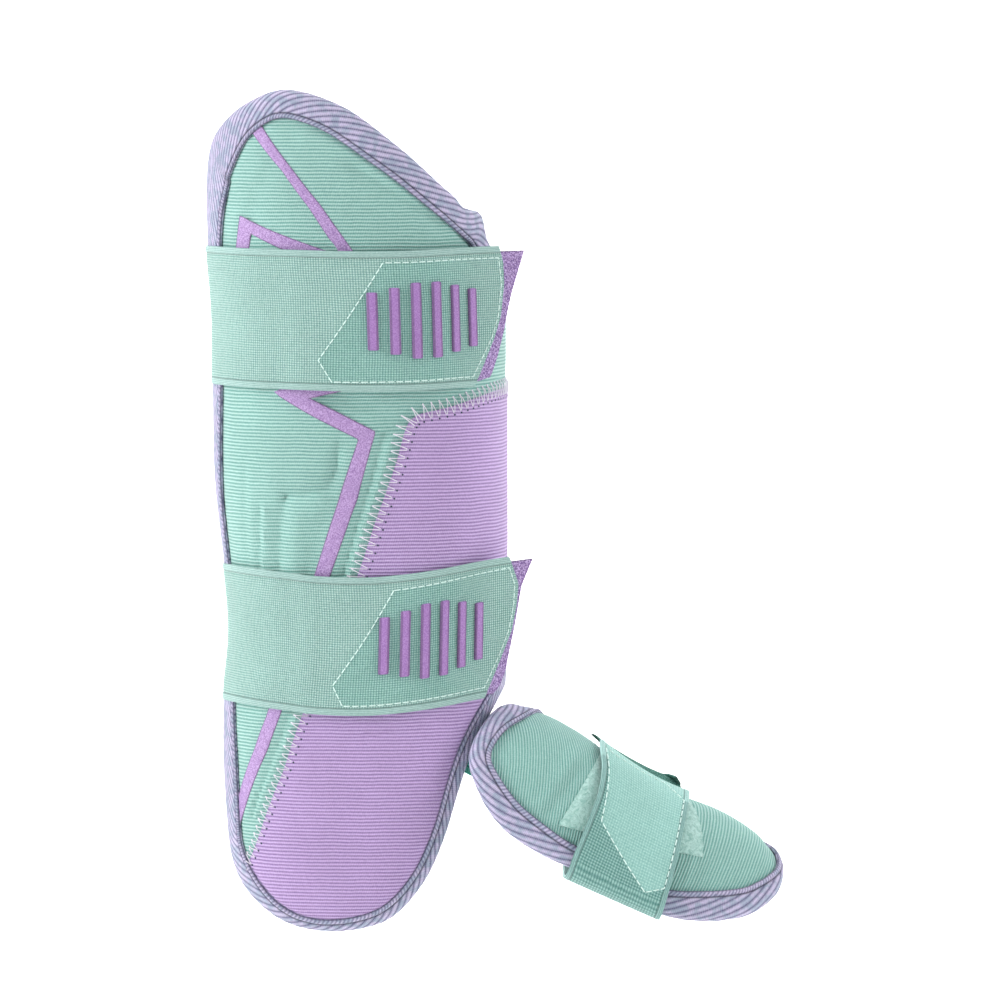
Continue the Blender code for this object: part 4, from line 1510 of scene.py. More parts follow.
    def make_seam(self, thread: bpy.types.Material, hole: bpy.types.Material) -> list[bpy.types.Object]:
        """Builds the zigzag stitches over the panel's edge, their knots, and dark plugs that paint the shade in
        their needle holes.
        """
        first, second = self.seam_points()
        share = np.linspace(0.0, 1.0, 6)
        lift = self.panel_rise + 0.00010 + 0.00022 * np.sin(np.pi * share)
        lift[[0, -1]] = 0.0002
        threads = []
        for start, end in [*zip(first, second), *zip(second[:-1], first[1:])]:
            threads.append(self.leg.at(start + share[:, None] * (end - start), lift))
        knots, marks = [], []
        for spot in first:
            knots.append(self.leg.at(np.repeat(spot[None], 2, 0), np.array((0.0, self.puff + 0.00035))))
        # Painted shade: a short dark plug in each needle hole on the panel's side.
        for spot in second:
            level = self.panel_rise
            marks.append(self.leg.at(np.repeat(spot[None], 2, 0), np.array((level - 0.0004, level + 0.00008))))
        made = []
        for name, lines, radius, material in (
            ("front_panel_seam", threads, 0.00020, thread),
            ("front_panel_seam_knots", knots, 0.00038, thread),
            ("front_panel_needle_holes", marks, 0.00050, hole),
        ):
            piece = draw_threads(name, lines, radius)
            piece.data.materials.append(material)
            made.append(dress(piece, "lilac_cloth"))
        return made


@dataclass
class Binding:
    """The folded twill tape round a pad's edge."""

    surface: Surface
    wall: float
    tape: TwillTape
    widths: tuple[TapeWidth, ...]
    thickness: float = 0.0012
    clearance: float = 0.0007
    station: float = 0.0009
    cord_rise: float = 0.00016
    safe_inset: float = 0.0012
    bulge: Points | None = None
    notch: Points | None = None

    def section(self, width: Points) -> TapeSection:
        """Closed section of the tape at stations of given widths, dense at its chained border."""
        outer = self.wall / 2 + self.clearance + self.thickness
        inner = self.wall / 2 + self.clearance
        middle = -self.wall / 2
        flat = width - outer
        rows = []
        last_turn = math.radians(168.0)
        border = [np.full(width.shape, across) for across in np.linspace(0.0, 0.0036, 10)]
        rest = [0.0036 + share * (flat + outer * last_turn - 0.0036) for share in np.linspace(0.0, 1.0, 45)[1:]]
        for across in border + rest:
            bead = 0.00040 * np.sin(math.pi * np.minimum(across / self.tape.border, 1.0))
            sink = 0.00045 * bell(across - self.tape.border, 0.0005)
            edge = 0.0008 * np.exp(-across / 0.0010)
            turn = np.maximum(across - flat, 0.0) / outer
            reach = outer + bead - sink - edge
            side = np.where(turn > 0, outer - reach * np.sin(turn), width - across)
            rows.append((side, middle + reach * np.cos(turn), across))
        run = flat + math.pi * outer
        for across in (np.full(width.shape, outer), width):
            rows.append((across, np.full(width.shape, middle - outer), run + across - outer))
        back = run + 2 * flat
        for across in (width, np.full(width.shape, outer)):
            rows.append((across, np.full(width.shape, middle - inner), back))
        for angle in np.radians((-45.0, 0.0, 45.0)):
            side = np.full(width.shape, outer - inner * math.cos(angle))
            rows.append((side, np.full(width.shape, middle + inner * math.sin(angle)), back))
        rows.append((np.full(width.shape, outer), np.full(width.shape, middle + inner), back))
        rows.append((width - 0.0002, np.full(width.shape, middle + inner - 0.0004), back))
        return TapeSection(*(np.stack(column) for column in zip(*rows)))

    def swell(self, line: Points) -> Points:
        """How far the edge bulges at its gathered ear, less the notch beside it."""
        if self.bulge is None or self.notch is None:
            return np.zeros(len(line))
        bulge = bell(np.linalg.norm(line - self.bulge, axis=1), 0.0055)
        notch = bell(np.linalg.norm(line - self.notch, axis=1), 0.0036)
        return 0.0046 * bulge - 0.0016 * notch

    def make(self, name: str, node: str, finish: bpy.types.Material) -> bpy.types.Object:
        """Sweeps the section along the edge and raises the slanting cords.

        Args:
            name: The piece's name.
            node: The solid that it stands for.
            finish: The tape's material.

        Returns:
            The finished piece.
        """
        surface, tape = self.surface, self.tape
        length = run_along(surface.dense)[-1]
        count = int(length / self.station)
        count -= count % 8
        line = even_line(surface.dense, count + 1)
        run = run_along(line)[:-1]
        normal = (inset(line, 1.0) - line)[:-1]
        line = line[:-1]
        width = read_table(self.widths, run / length)[..., 0]
        section = self.section(width)
        way = line + width[:, None] * normal
        for _ in range(60):
            way = (np.roll(way, 1, axis=0) + 2 * way + np.roll(way, -1, axis=0)) / 4
        way = (way - line) / width[:, None]

        whole = round(length * math.sin(tape.slant) / tape.pitch) * tape.pitch / math.sin(tape.slant)
        phase = tape.phase(run * whole / length, section.run)
        ridge = np.sqrt(np.clip(1 - (2 * (phase + 0.5 - np.floor(phase + 0.5)) - 1) ** 2, 0.0, 1.0)) - 0.6
        outer = self.wall / 2 + self.clearance + self.thickness
        turn = (section.run - width + outer) / outer
        shown = (section.run > tape.border + 0.0002) & (turn < math.radians(160.0))
        push = self.cord_rise * ridge * shown
        turn = np.clip(turn, 0.0, math.pi)
        reach = section.inset - push * np.sin(turn)
        depth = section.depth + push * np.cos(turn)
        share = 1 - section.inset / width
        swell = self.swell(line) * share**2
        spots = line + reach[..., None] * way - swell[..., None] * normal
        safe = line + np.maximum(section.inset, self.safe_inset)[..., None] * way
        points = surface.at(spots, depth, safe)
        rows = len(depth)

        def place(u: Points, v: Points) -> Points:
            """Points by station and by number in the section."""
            return points[np.rint(v * rows).astype(int) % rows, np.rint(u * count).astype(int) % count]

        def flat(u: Points, v: Points) -> Points:
            """Distance along the edge and over the tape."""
            number = np.minimum(np.rint(v * rows).astype(int), rows - 1)
            return np.column_stack((u * whole, section.run[number, np.rint(u * count).astype(int) % count]))

        piece = lay_grid(name, count, rows, place, flat)
        add_modifier(piece, "WELD", merge_threshold=0.00002)
        select_only(piece)
        bpy.ops.object.mode_set(mode="EDIT")
        bpy.ops.mesh.select_all(action="SELECT")
        bpy.ops.mesh.normals_make_consistent(inside=False)
        bpy.ops.object.mode_set(mode="OBJECT")
        piece.data.materials.append(finish)
        smooth(piece, 60.0)
        return dress(piece, "lilac_tape", node)


@dataclass
class CalfStrap:
    """A wide elastic strap round the calf, free at the front."""

    leg: Leg
    which: str
    height: float
    slope: float
    ribs_behind: float
    stitch_line: tuple[EndSpot, ...]
    strap_end: tuple[EndSpot, ...]
    tab_end: tuple[EndSpot, ...]
    sag: tuple[Sag, ...]
    width: float = 0.063
    thickness: float = 0.0011
    patch_thickness: float = 0.001
    patch_share: float = 0.945
    layer_gap: float = 0.0002
    tape_depth: float = 0.0015
    panel_depth: float = 0.0015
    free_angle: float = 56.0
    fixed_angle: float = 310.0
    rise_length: float = 0.012
    dip: float = 0.0055
    dip_angles: tuple[float, float, float, float] = (161.0, 181.0, 262.0, 286.0)
    rib_width: float = 0.0042
    rib_heights: tuple[float, ...] = (0.026, 0.030, 0.034, 0.034, 0.030, 0.026)
    rib_pitch: float = 0.0085
    rib_thickness: float = 0.0013

    def at(self, back: Points, across: Points, depth: Points) -> Points:
        """Points of the strap; in front of its free angle it runs straight on.

        Args:
            back: Distance behind the place where the strap leaves the leg.
            across: Share of the width from the middle.
            depth: Depth outside the leg.

        Returns:
            Points in the row frame.
        """
        free = self.free_angle * self.leg.per_degree
        level = self.height * self.leg.height - math.tan(math.radians(self.slope)) * back
        level = level + read_table(self.sag, back)[..., 0]
        spots = np.stack((free + np.maximum(back, 0.0), level + across * self.width), axis=-1)
        bare = self.leg.bare
        ahead = bare(spots) - bare(spots + np.array((0.0005, 0.0)))
        ahead /= np.linalg.norm(ahead, axis=-1, keepdims=True)
        out = self.leg.facing(bare, spots)
        return bare(spots) + np.minimum(back, 0.0)[..., None] * -ahead + depth[..., None] * out

    def lift(self, back: Points) -> Points:
        """Depth of the strap's inner face: it rises over the hook patch and dips behind the calf."""
        inner = self.tape_depth + self.layer_gap
        over = self.panel_depth + 2 * self.layer_gap + self.patch_thickness
        rear = -PATCH_REAR[1].forward * self.width
        rise = eased((rear + self.rise_length - back) / self.rise_length)
        angle = self.free_angle + back / self.leg.per_degree
        first, second, third, fourth = self.dip_angles
        dip = eased((angle - first) / (second - first)) * eased((fourth - angle) / (fourth - third))
        return inner + (over - inner) * rise - self.dip * dip

    def end(self, rows: Sequence[EndSpot], across: Points) -> Points:
        """How far forward an end reaches at each share across."""
        return np.interp(across, [r.across for r in rows], [r.forward for r in rows]) * self.width

    def turn_out(self, piece: bpy.types.Object) -> None:
        """Turns a piece's faces away from the leg's axis."""
        corners = np.empty(len(piece.data.vertices) * 3)
        piece.data.vertices.foreach_get("co", corners)
        face_outwards(piece, corners.reshape(-1, 3) * np.array((1.0, 1.0, 0.0)))

    def surface_rise(self, back: Points, across: Points) -> Points:
        """Selvedges, their grooves and the soft waves of stretched elastic."""
        edge = (0.5 - np.abs(across)) * self.width
        selvedge = 0.00012 * eased((0.0032 - edge) / 0.0003)
        groove = -0.00028 * bell(edge - 0.0034, 0.00035)
        waves = 0.00010 * np.sin(2 * np.pi * back / 0.0047 + 1.3 * np.sin(40 * across))
        waves *= eased((back - 0.045) / 0.02) * np.clip(edge / 0.008, 0.0, 1.0)
        return selvedge + groove + waves - 0.0003 * bell(edge, 0.0010)

    def make_strap(self, elastic: bpy.types.Material) -> bpy.types.Object:
        """Builds the elastic strap."""
        girth = (self.fixed_angle - self.free_angle) * self.leg.per_degree

        def shares(v: Points) -> Points:
            """Places across, denser at the selvedges."""
            return np.interp(v, (0.0, 10 / 64, 54 / 64, 1.0), (0.0, 0.072, 0.928, 1.0)) - 0.5

        def backs(u: Points, across: Points) -> Points:
            """Distances back at the same shares for all rows."""
            front = -self.end(self.strap_end, across)
            return front + u * (girth - front)

        def place(u: Points, v: Points) -> Points:
            across = shares(v)
            back = backs(u, across)
            depth = self.lift(back) + self.thickness + self.surface_rise(back, across)
            return self.at(back, across, depth)

        def flat(u: Points, v: Points) -> Points:
            across = shares(v)
            return np.column_stack((backs(u, across), (across + 0.5) * self.width))

        strap = lay_grid(f"{self.which}_strap_elastic", 280, 64, place, flat)
        strap.data.materials.append(elastic)
        self.mark_sewn(strap)
        self.turn_out(strap)
        give_wall(strap, self.thickness, Side.INWARD)
        smooth(strap)
        return dress(strap, "mint_elastic", f"{self.which}_strap")

    def mark_sewn(self, strap: bpy.types.Object) -> None:
        """Marks the part of the strap that lies on the hook patch, inside its stitches. The mark fades out
        towards the free end, a painted highlight on that end.
        """
        index = np.empty(len(strap.data.loops), np.int32)
        strap.data.loops.foreach_get("vertex_index", index)
        places = np.empty(len(strap.data.loops) * 2)
        strap.data.uv_layers[PATTERN].data.foreach_get("uv", places)
        spots = np.zeros((len(strap.data.vertices), 2))
        spots[index] = places.reshape(-1, 2)
        corners = [(-p.forward * self.width, (p.across + 0.5) * self.width) for p in self.stitch_line]
        # Painted light: the sewn tint fades out towards the free end, so that end is painted lighter.
        painted_light_fade = np.clip((spots[:, 0] + 0.020) / 0.026, 0.0, 1.0)
        mark(strap, "sewn", inside(spots, np.array(corners)) * painted_light_fade)

    def make_patch(self, hooks: bpy.types.Material) -> bpy.types.Object:
        """Builds the hook patch under the free end, which stands out as a tab."""
        depth = self.panel_depth + self.layer_gap + self.patch_thickness

        def backs(u: Points, across: Points) -> Points:
            front, rear = -self.end(self.tab_end, across), -self.end(PATCH_REAR, across)
            return front + u * (rear - front)

        def place(u: Points, v: Points) -> Points:
            across = (v - 0.5) * self.patch_share - 0.012
            return self.at(backs(u, across), across, np.full(u.shape, depth))

        def flat(u: Points, v: Points) -> Points:
            across = (v - 0.5) * self.patch_share - 0.012
            return np.column_stack((backs(u, across), v * self.width))

        patch = lay_grid(f"{self.which}_hook_tape", 60, 40, place, flat)
        patch.data.materials.append(hooks)
        self.turn_out(patch)
        give_wall(patch, self.patch_thickness, Side.INWARD)
        smooth(patch)
        return dress(patch, "purple_hook", f"{self.which}_hook_patch")

    def make_ribs(self, rubber: bpy.types.Material) -> list[bpy.types.Object]:
        """Moulds one grip rib, then sets a copy of it at each place on the strap."""
        bpy.ops.object.select_all(action="DESELECT")
        bpy.ops.mesh.primitive_cube_add(size=1.0)
        blank = bpy.context.object
        blank.data.uv_layers.active.name = PATTERN
        tallest = max(self.rib_heights)
        blank.scale = (self.rib_width, tallest, self.rib_thickness * 2)
        bpy.ops.object.transform_apply(location=False, rotation=False, scale=True)
        add_modifier(blank, "BEVEL", width=0.0008, segments=4, limit_method="NONE")
        corners = np.empty(len(blank.data.vertices) * 3)
        blank.data.vertices.foreach_get("co", corners)
        corners = corners.reshape(-1, 3)
        middle = (len(self.rib_heights) - 1) / 2
        ribs = []
        for number, height in enumerate(self.rib_heights):
            centre = self.ribs_behind * self.width - (number - middle) * self.rib_pitch
            back = centre + corners[:, 0]
            base = self.lift(back) + self.thickness
            depth = base + np.maximum(corners[:, 2], -self.rib_thickness * 0.25)
            mesh = blank.data.copy()
            mesh.name = f"{self.which}_grip_rib_{number + 1}_moulded"
            across = corners[:, 1] * height / tallest / self.width
            mesh.vertices.foreach_set("co", self.at(back, across, depth).ravel())
            index = np.empty(len(mesh.loops), np.int32)
            mesh.loops.foreach_get("vertex_index", index)
            flat = np.column_stack((corners[:, 1], corners[:, 0] + self.rib_width / 2))[index]
            mesh.uv_layers[PATTERN].data.foreach_set("uv", flat.ravel())
            rib = bpy.data.objects.new(mesh.name, mesh)
            bpy.context.scene.collection.objects.link(rib)
            self.turn_out(rib)
            mesh.materials.append(rubber)
            smooth(rib, 50.0)
            ribs.append(dress(rib, "purple_film", f"{self.which}_grip_rib_{number + 1}"))
        bpy.data.objects.remove(blank)
        return ribs

    def stitch_run(self, corners: Points, stitch: float, gap: float) -> list[Points]:
        """Running stitches along a broken line of (back, across) places, in metres.

        Args:
            corners: The line's corners.
            stitch: Length of a stitch.
            gap: Length between stitches.

        Returns:
            The points of each thread.
        """
        run = run_along(corners)
        threads = []
        share = np.linspace(0.0, 1.0, 6)
        for start in np.arange(0.0, run[-1] - stitch, stitch + gap):
            at = start + share * stitch
            back, across = [np.interp(at, run, column) for column in corners.T]
            lift = self.lift(back) + self.thickness + 0.00030 * np.sin(np.pi * share) ** 0.7 - 0.0001
            threads.append(self.at(back, across / self.width, lift))
        return threads

    def make_stitches(self, thread: bpy.types.Material) -> bpy.types.Object:
        """Sews the hook patch on, and the strap's fixed end to the pad."""
        places = [(-p.forward * self.width, p.across * self.width) for p in self.stitch_line]
        places.append(places[0])
        threads = self.stitch_run(np.array(places), 0.0024, 0.0009)
        girth = (self.fixed_angle - self.free_angle) * self.leg.per_degree
        reach = self.width * 0.42
        for back in (girth - 0.004, girth - 0.018):
            threads += self.stitch_run(np.array(((back, -reach), (back, reach))), 0.0026, 0.0010)
        stitches = draw_threads(f"{self.which}_strap_stitches", threads, 0.00027)
        stitches.data.materials.append(thread)
        return dress(stitches, "mint_elastic")


@dataclass
class FootGuard:
    """The small curved pad over the instep with its loop patch."""

    instep: Instep
    wall: float = 0.006
    hidden_edge: float = 0.0068
    puff: float = 0.00035
    patch_rise: float = 0.0013
    patch_wall: float = 0.0009

    def sides(self, edge: Points) -> tuple[Points, Points, Points, Points]:
        """The pad's near, heel, far and toe sides along its edge line."""
        instep = self.instep
        rows = ((FOOT_TOE_EDGE, 0), (FOOT_HEEL_EDGE, -1), (FOOT_HEEL_EDGE, 0), (FOOT_TOE_EDGE, -1))
        corners = [nearest(instep.dense, instep.flat(row)[at]) for row, at in rows]
        pairs = zip(corners, corners[1:] + corners[:1])
        return tuple(even_line(stretch(edge, start, end), 300) for start, end in pairs)

    def relief(self, spot: Points) -> Points:
        """Rise of the cover: puffed, creased beside the strap, flat under the tape."""
        share = spot[..., 0] / self.instep.length
        angle = spot[..., 1] / self.instep.per_degree
        rise = np.full(share.shape, self.puff)
        rise += 0.0007 * bell(share - 0.275 + 0.0006 * (angle - 45), 0.018) * eased((angle - 15) / 20)
        rise -= 0.0006 * bell(share - 0.300 + 0.0006 * (angle - 45), 0.012) * eased((angle - 15) / 20)
        rise += 0.0005 * bell(share - 0.705 - 0.0016 * (angle - 40), 0.012) * eased((angle - 5) / 20)
        edge = line_distance(spot, self.instep.outline)
        free = eased((edge - 0.0110) / 0.0050)
        return rise * free - 0.0002 * (1 - free)

    def turn_out(self, piece: bpy.types.Object) -> None:
        """Turns a piece's faces up, away from the foot."""
        count = len(piece.data.vertices)
        face_outwards(piece, np.tile(-self.instep.down + self.instep.side * 0.3, (count, 1)))

    def make_pad(self, cover: bpy.types.Material, lining: bpy.types.Material) -> bpy.types.Object:
        """Builds the padded wall."""
        instep = self.instep
        near, heel, far, toe = self.sides(inset(instep.dense, self.hidden_edge))
        spots = blend_sides(far, near[::-1], heel[::-1], toe)
        place = lambda u, v: instep.at(spots(u, v), self.relief(spots(u, v)))

        def flat(u: Points, v: Points) -> Points:
            """The pattern with its ribs slanting at the heel and nearly straight at the toes."""
            along, around = spots(u, v).T
            slant = np.interp(along / instep.length, (0.25, 0.85), (0.50, 0.10))
            return np.column_stack((around, along - slant * (around - 45.0 * instep.per_degree)))

        pad = lay_grid("foot_pad_cover", 120, 90, place, flat)
        pad.data.materials.append(cover)
        pad.data.materials.append(lining)
        self.turn_out(pad)
        give_wall(pad, self.wall, Side.INWARD, inner=1)
        smooth(pad)
        return dress(pad, "mint_cloth", "foot_pad")

    def make_patch(self, pile: bpy.types.Material) -> bpy.types.Object:
        """Builds the brushed loop patch."""
        first, second, third, fourth = self.instep.flat(FOOT_PATCH_CORNERS)
        spots = blend_sides(
            np.array((first, second)),
            np.array((fourth, third)),
            np.array((first, fourth)),
            np.array((second, third)),
        )

        def place(u: Points, v: Points) -> Points:
            rim = np.minimum(np.minimum(u, 1 - u), np.minimum(v, 1 - v))
            fluff = 0.00018 * np.sin(190 * u + 3 * np.sin(47 * v)) * np.sin(170 * v + 2 * np.sin(61 * u))
            return self.instep.at(spots(u, v), self.patch_rise - 0.0004 * bell(rim, 0.03) + fluff)

        patch = lay_grid("foot_loop_cloth", 90, 80, place, spots)
        patch.data.materials.append(pile)
        self.turn_out(patch)
        give_wall(patch, self.patch_wall, Side.INWARD)
        smooth(patch)
        return dress(patch, "mint_loop", "foot_loop_patch")


@dataclass
class FootStrap:
    """The strap round the foot: over the near side, under the sole and up the far side."""

    instep: Instep
    width: float = 0.0455
    thickness: float = 0.0016
    patch_thickness: float = 0.001
    layer_gap: float = 0.0004
    slope: float = math.radians(15.5)
    place_along: float = 0.0615
    sole_corner: float = 0.009
    sole_drop: float = 0.004
    sole_taper: float = 0.15
    tab_flares: tuple[float, float] = (0.0008, 0.0044)
    tab_shift: float = 0.0056
    sole_angle: float = 75.0
    free_angle: float = 5.0
    sewn_angle: float = -30.0
    tab_angle: float = -9.0
    hook_rear_angle: float = 60.0
    loop: Points = field(init=False)

    def __post_init__(self) -> None:
        """Works out the loop's section once."""
        self.loop = self.ring()

    def side_row(self, angle: float) -> tuple[float, float, float, float]:
        """Reach, sink and outward direction where the loop follows the instep."""
        half, depth = self.instep.half_width, self.instep.depth
        out, drop = depth * math.sin(angle), -half * math.cos(angle)
        size = math.hypot(out, drop)
        return half * math.sin(angle), depth * (1 - math.cos(angle)), out / size, drop / size

    def ring(self) -> Points:
        """Section of the loop as rows of reach, sink and outward direction."""
        near = np.radians(np.linspace(self.tab_angle, self.sole_angle, 24))
        far = np.radians(np.linspace(-self.sole_angle, self.sewn_angle, 14))
        rows = [self.side_row(angle) for angle in near]
        reach, sink = rows[-1][:2]
        straight = reach - self.sole_corner
        turn = [
            (
                straight + self.sole_corner * math.cos(a),
                sink + self.sole_drop * math.sin(a),
                math.cos(a),
                math.sin(a),
            )
            for a in np.radians(np.linspace(0.0, 90.0, 7))[1:]
        ]
        rows += turn
        rows += [(-reach, sink, -out, drop) for reach, sink, out, drop in turn[::-1]]
        rows += [self.side_row(angle) for angle in far]
        return np.array(rows)

    def at(self, run: Points, across: Points, depth: Points) -> Points:
        """Points at a distance along the loop, an offset across in metres and a depth."""
        instep = self.instep
        width_way = np.array((math.cos(self.slope), 0.0, -math.sin(self.slope)))
        length = run_along(self.loop[:, :2])
        reach, sink, out, drop = [np.interp(run, length, column) for column in self.loop.T]
        reach, sink = reach + out * depth, sink + drop * depth
        sink = sink - self.sole_taper * across * (sink / instep.depth) ** 2
        top = np.clip(1 - sink / instep.depth, 0.0, 1.0) ** 2
        along = np.full(run.shape, self.place_along)
        for _ in range(3):
            share = (along + instep.heel_overlap) / instep.length
            crest = read_table(INSTEP_SECTIONS, share)[..., 0] * instep.crest_rise * top
            level = self.place_along + across - (sink - crest) * np.dot(width_way, instep.down)
            along = level / np.dot(width_way, instep.forward)
        return instep.heel + instep.spread(along, sink - crest, reach)

    def length_to(self, angle: float) -> float:
        """Distance along the loop to an angle on the near side."""
        angles = np.radians(np.linspace(self.tab_angle, angle, 40))
        rows = np.array([self.side_row(a)[:2] for a in angles])
        return float(run_along(rows)[-1])

    def inner_depth(self) -> float:
        """Depth of the strap's inner face."""
        return 3 * self.layer_gap + 2 * self.patch_thickness

    def shifted(self, run: Points, across: Points) -> Points:
        """Places across once the strap's bowed edges have pulled them along, in metres."""
        left, right = read_table(FOOT_STRAP_EDGES, run).T
        share = across / self.width + 0.5
        return across + left * (1 - share) + right * share

    def mark_sewn(self, strap: bpy.types.Object) -> None:
        """Marks the part of the strap inside its stitches."""
        index = np.empty(len(strap.data.loops), np.int32)
        strap.data.loops.foreach_get("vertex_index", index)
        places = np.empty(len(strap.data.loops) * 2)
        strap.data.uv_layers[PATTERN].data.foreach_get("uv", places)
        spots = np.zeros((len(strap.data.vertices), 2))
        spots[index] = places.reshape(-1, 2)
        corners = [(p.forward, (p.across + 0.5) * self.width) for p in FOOT_STITCHES]
        mark(strap, "sewn", inside(spots, np.array(corners)) | (spots[:, 0] < 0.020))

    def turn_out(self, piece: bpy.types.Object) -> None:
        """Turns a piece's faces away from the foot's middle."""
        middle = self.instep.heel + self.instep.forward * 0.06 + self.instep.down * 0.03
        corners = np.empty(len(piece.data.vertices) * 3)
        piece.data.vertices.foreach_get("co", corners)
        face_outwards(piece, corners.reshape(-1, 3) - middle)

    def make_strap(self, elastic: bpy.types.Material) -> bpy.types.Object:
        """Builds the elastic strap."""
        start, end = self.length_to(self.free_angle), float(run_along(self.loop[:, :2])[-1])

        def shares(v: Points) -> Points:
            return np.interp(v, (0.0, 9 / 50, 41 / 50, 1.0), (0.0, 0.090, 0.910, 1.0)) - 0.5

        def place(u: Points, v: Points) -> Points:
            across = shares(v)
            edge = (0.5 - np.abs(across)) * self.width
            rise = 0.00010 * eased((0.0024 - edge) / 0.0003) - 0.00026 * bell(edge - 0.0026, 0.00035)
            depth = self.inner_depth() + self.thickness + rise - 0.0003 * bell(edge, 0.0010)
            run = start + u * (end - start)
            return self.at(run, self.shifted(run, across * self.width), depth)

        flat = lambda u, v: np.column_stack((start + u * (end - start), (shares(v) + 0.5) * self.width))
        strap = lay_grid("foot_strap_elastic", 170, 50, place, flat)
        strap.data.materials.append(elastic)
        self.mark_sewn(strap)
        self.turn_out(strap)
        give_wall(strap, self.thickness, Side.INWARD)
        smooth(strap)
        return dress(strap, "mint_elastic", "foot_strap")

    def make_patch(self, hooks: bpy.types.Material) -> bpy.types.Object:
        """Builds the hook patch, whose front edge flares into a tab."""
        start, rear = self.length_to(self.free_angle), self.length_to(self.hook_rear_angle)

        def place(u: Points, v: Points) -> Points:
            """Points of the patch; its tab stands off and shifts towards the heel."""
            loose = eased(1 - u * rear / start)
            flare = (self.tab_flares[0] + (self.tab_flares[1] - self.tab_flares[0]) * v) * loose
            depth = 2 * self.layer_gap + self.patch_thickness * 2 + flare
            across = (v - 0.5) * self.width * 0.92 - self.tab_shift * loose
            corner = 0.006 * np.abs(2 * v - 1) ** 6
            return self.at(np.maximum(u * rear, corner * (1 - u)), self.shifted(u * rear, across), depth)

        flat = lambda u, v: np.column_stack((u * rear, v * self.width))
        patch = lay_grid("foot_hook_tape", 60, 40, place, flat)
        patch.data.materials.append(hooks)
        self.turn_out(patch)
        give_wall(patch, self.patch_thickness, Side.INWARD)
        smooth(patch)
        return dress(patch, "teal_hook", "foot_hook_patch")

    def make_stitches(self, thread: bpy.types.Material) -> bpy.types.Object:
        """Sews the hook patch on."""
        corners = np.array([(p.forward, p.across * self.width) for p in FOOT_STITCHES])
        corners = np.vstack((corners, corners[:1]))
        run = run_along(corners)
        share = np.linspace(0.0, 1.0, 6)
        stitch, gap = 0.0024, 0.0010
        threads = []
        for start in np.arange(0.0, run[-1] - stitch, stitch + gap):
            places = [np.interp(start + share * stitch, run, column) for column in corners.T]
            lift = self.inner_depth() + self.thickness + 0.00028 * np.sin(np.pi * share) ** 0.7 - 0.0001
            threads.append(self.at(places[0], self.shifted(places[0], places[1]), lift))
        stitches = draw_threads("foot_strap_stitches", threads, 0.00027)
        stitches.data.materials.append(thread)
        return dress(stitches, "mint_elastic")


@dataclass
class AnkleLink:
    """The elastic web from inside the shin pad to inside the foot pad."""

    leg: Leg
    instep: Instep
    thickness: float = 0.0015
    drop: float = 0.026
    sink: float = 0.010
    shin_depth: float = -0.0114
    foot_depth: float = -0.00755

    def make(self, elastic: bpy.types.Material) -> bpy.types.Object:
        """Builds the web."""
        shin, foot = self.leg.flat(LINK_SHIN_EDGE), self.instep.flat(LINK_FOOT_EDGE)

        def place(u: Points, v: Points) -> Points:
            a, b = u[:, None], v[:, None]
            upper_spots = shin[0] + a * (shin[1] - shin[0])
            upper = self.leg.at(upper_spots, self.shin_depth)
            lower = self.instep.at(foot[0] + a * (foot[1] - foot[0]), self.foot_depth)
            bend = self.leg.at(upper_spots - np.array((0.0, self.drop)), self.shin_depth - self.sink)
            return (1 - b) ** 2 * upper + 2 * b * (1 - b) * bend + b * b * lower

        flat = lambda u, v: np.column_stack((v * 0.06, u * 0.026))
        web = lay_grid("ankle_link_elastic", 40, 60, place, flat)
        web.data.materials.append(elastic)
        give_wall(web, self.thickness, Side.CENTRED)
        smooth(web)
        return dress(web, "mint_elastic", "ankle_link")


